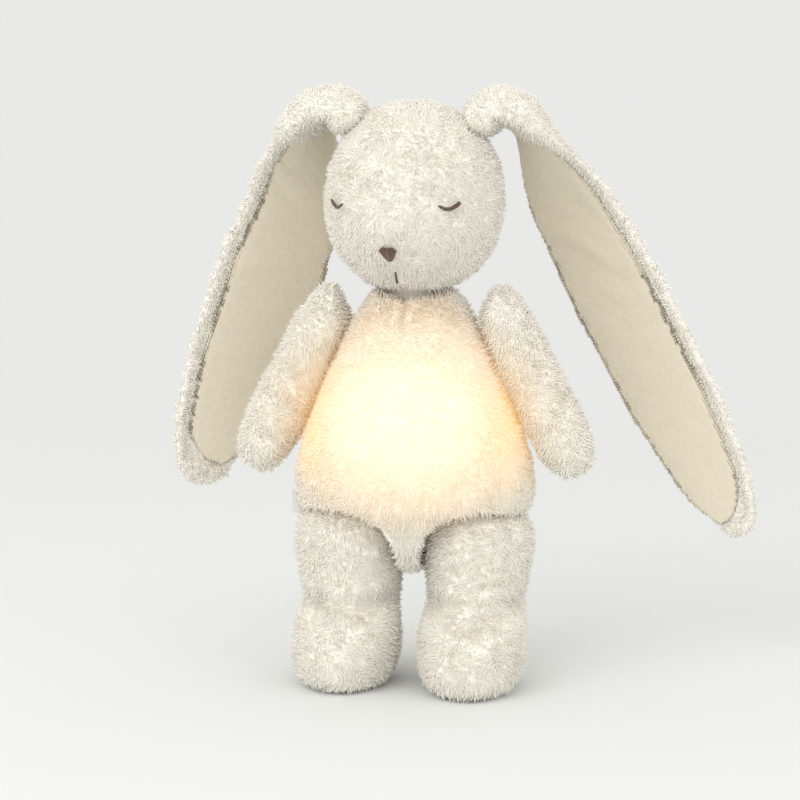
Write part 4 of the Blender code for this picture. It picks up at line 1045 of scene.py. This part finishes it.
def make_world(strength):
    """Even pale light, and the plain pale backdrop that the camera sees."""
    world = bpy.data.worlds.new("studio")
    bpy.context.scene.world = world
    world.use_nodes = True
    tree = Tree(world.node_tree)
    world.node_tree.nodes.clear()
    rays = tree.add("ShaderNodeLightPath").outputs
    seen = tree.maths("MAXIMUM", rays["Is Camera Ray"], rays["Is Glossy Ray"])
    seen = tree.maths("MAXIMUM", seen, rays["Is Transmission Ray"])
    light = tree.add("ShaderNodeBackground", {"Color": (1.0, 0.99, 0.97, 1), "Strength": strength})
    backdrop = tree.add("ShaderNodeBackground", {"Color": (*BACKDROP_COLOUR, 1), "Strength": 1.0})
    mix = tree.add("ShaderNodeMixShader", {0: seen, 1: light.outputs[0], 2: backdrop.outputs[0]})
    tree.add("ShaderNodeOutputWorld", {"Surface": mix.outputs[0]})


def soft_lamp(name, place, aim, size, power):
    lamp = bpy.data.lights.new(name, "AREA")
    lamp.size = size
    lamp.energy = power
    obj = bpy.data.objects.new(name, lamp)
    obj.location = place
    obj.rotation_euler = (aim - Vector(place)).to_track_quat("-Z", "Y").to_euler()
    bpy.context.scene.collection.objects.link(obj)


def make_camera(aim, azimuth, elevation, lens, width):
    """A camera that sees the given width at the toy."""
    data = bpy.data.cameras.new("camera")
    data.lens = lens
    data.sensor_width = 36.0
    turn, rise = radians(azimuth), radians(elevation)
    back = Vector((sin(turn) * cos(rise), -cos(turn) * cos(rise), sin(rise)))
    camera = bpy.data.objects.new("camera", data)
    camera.location = aim + back * (width * lens / data.sensor_width)
    camera.rotation_euler = (-back).to_track_quat("-Z", "Y").to_euler()
    bpy.context.scene.collection.objects.link(camera)
    bpy.context.scene.camera = camera


class NIGHT_PT_panel(bpy.types.Panel):
    bl_label = "Night Light"
    bl_idname = "NIGHT_PT_panel"
    bl_space_type = "VIEW_3D"
    bl_region_type = "UI"
    bl_category = "Night Light"

    def draw(self, context):
        for group in ("pile_settings", "glow_settings", "cloth_settings", "stitch_settings"):
            settings = getattr(context.scene, group)
            for name in settings.__annotations__:
                self.layout.prop(settings, name)
        for step in STEPS:
            self.layout.operator(step.bl_idname)


SETTINGS = {
    "pile_settings": PileSettings, "glow_settings": GlowSettings, "cloth_settings": ClothSettings,
    "stitch_settings": StitchSettings,
}
STEPS = (
    NIGHT_OT_head, NIGHT_OT_torso, NIGHT_OT_limbs, NIGHT_OT_ears, NIGHT_OT_face, NIGHT_OT_pocket,
    NIGHT_OT_module, NIGHT_OT_stage,
)


def register():
    for cls in (*SETTINGS.values(), *STEPS, NIGHT_PT_panel):
        bpy.utils.register_class(cls)
    for name, cls in SETTINGS.items():
        setattr(bpy.types.Scene, name, bpy.props.PointerProperty(type=cls))


def unregister():
    for name in SETTINGS:
        delattr(bpy.types.Scene, name)
    for cls in reversed((*SETTINGS.values(), *STEPS, NIGHT_PT_panel)):
        bpy.utils.unregister_class(cls)


def main():
    register()
    bpy.ops.night_light.head()
    bpy.ops.night_light.torso()
    bpy.ops.night_light.limbs()
    bpy.ops.night_light.ears()
    bpy.ops.night_light.face()
    bpy.ops.night_light.pocket()
    bpy.ops.night_light.module()
    bpy.ops.night_light.stage()


if __name__ == "__main__":
    main()
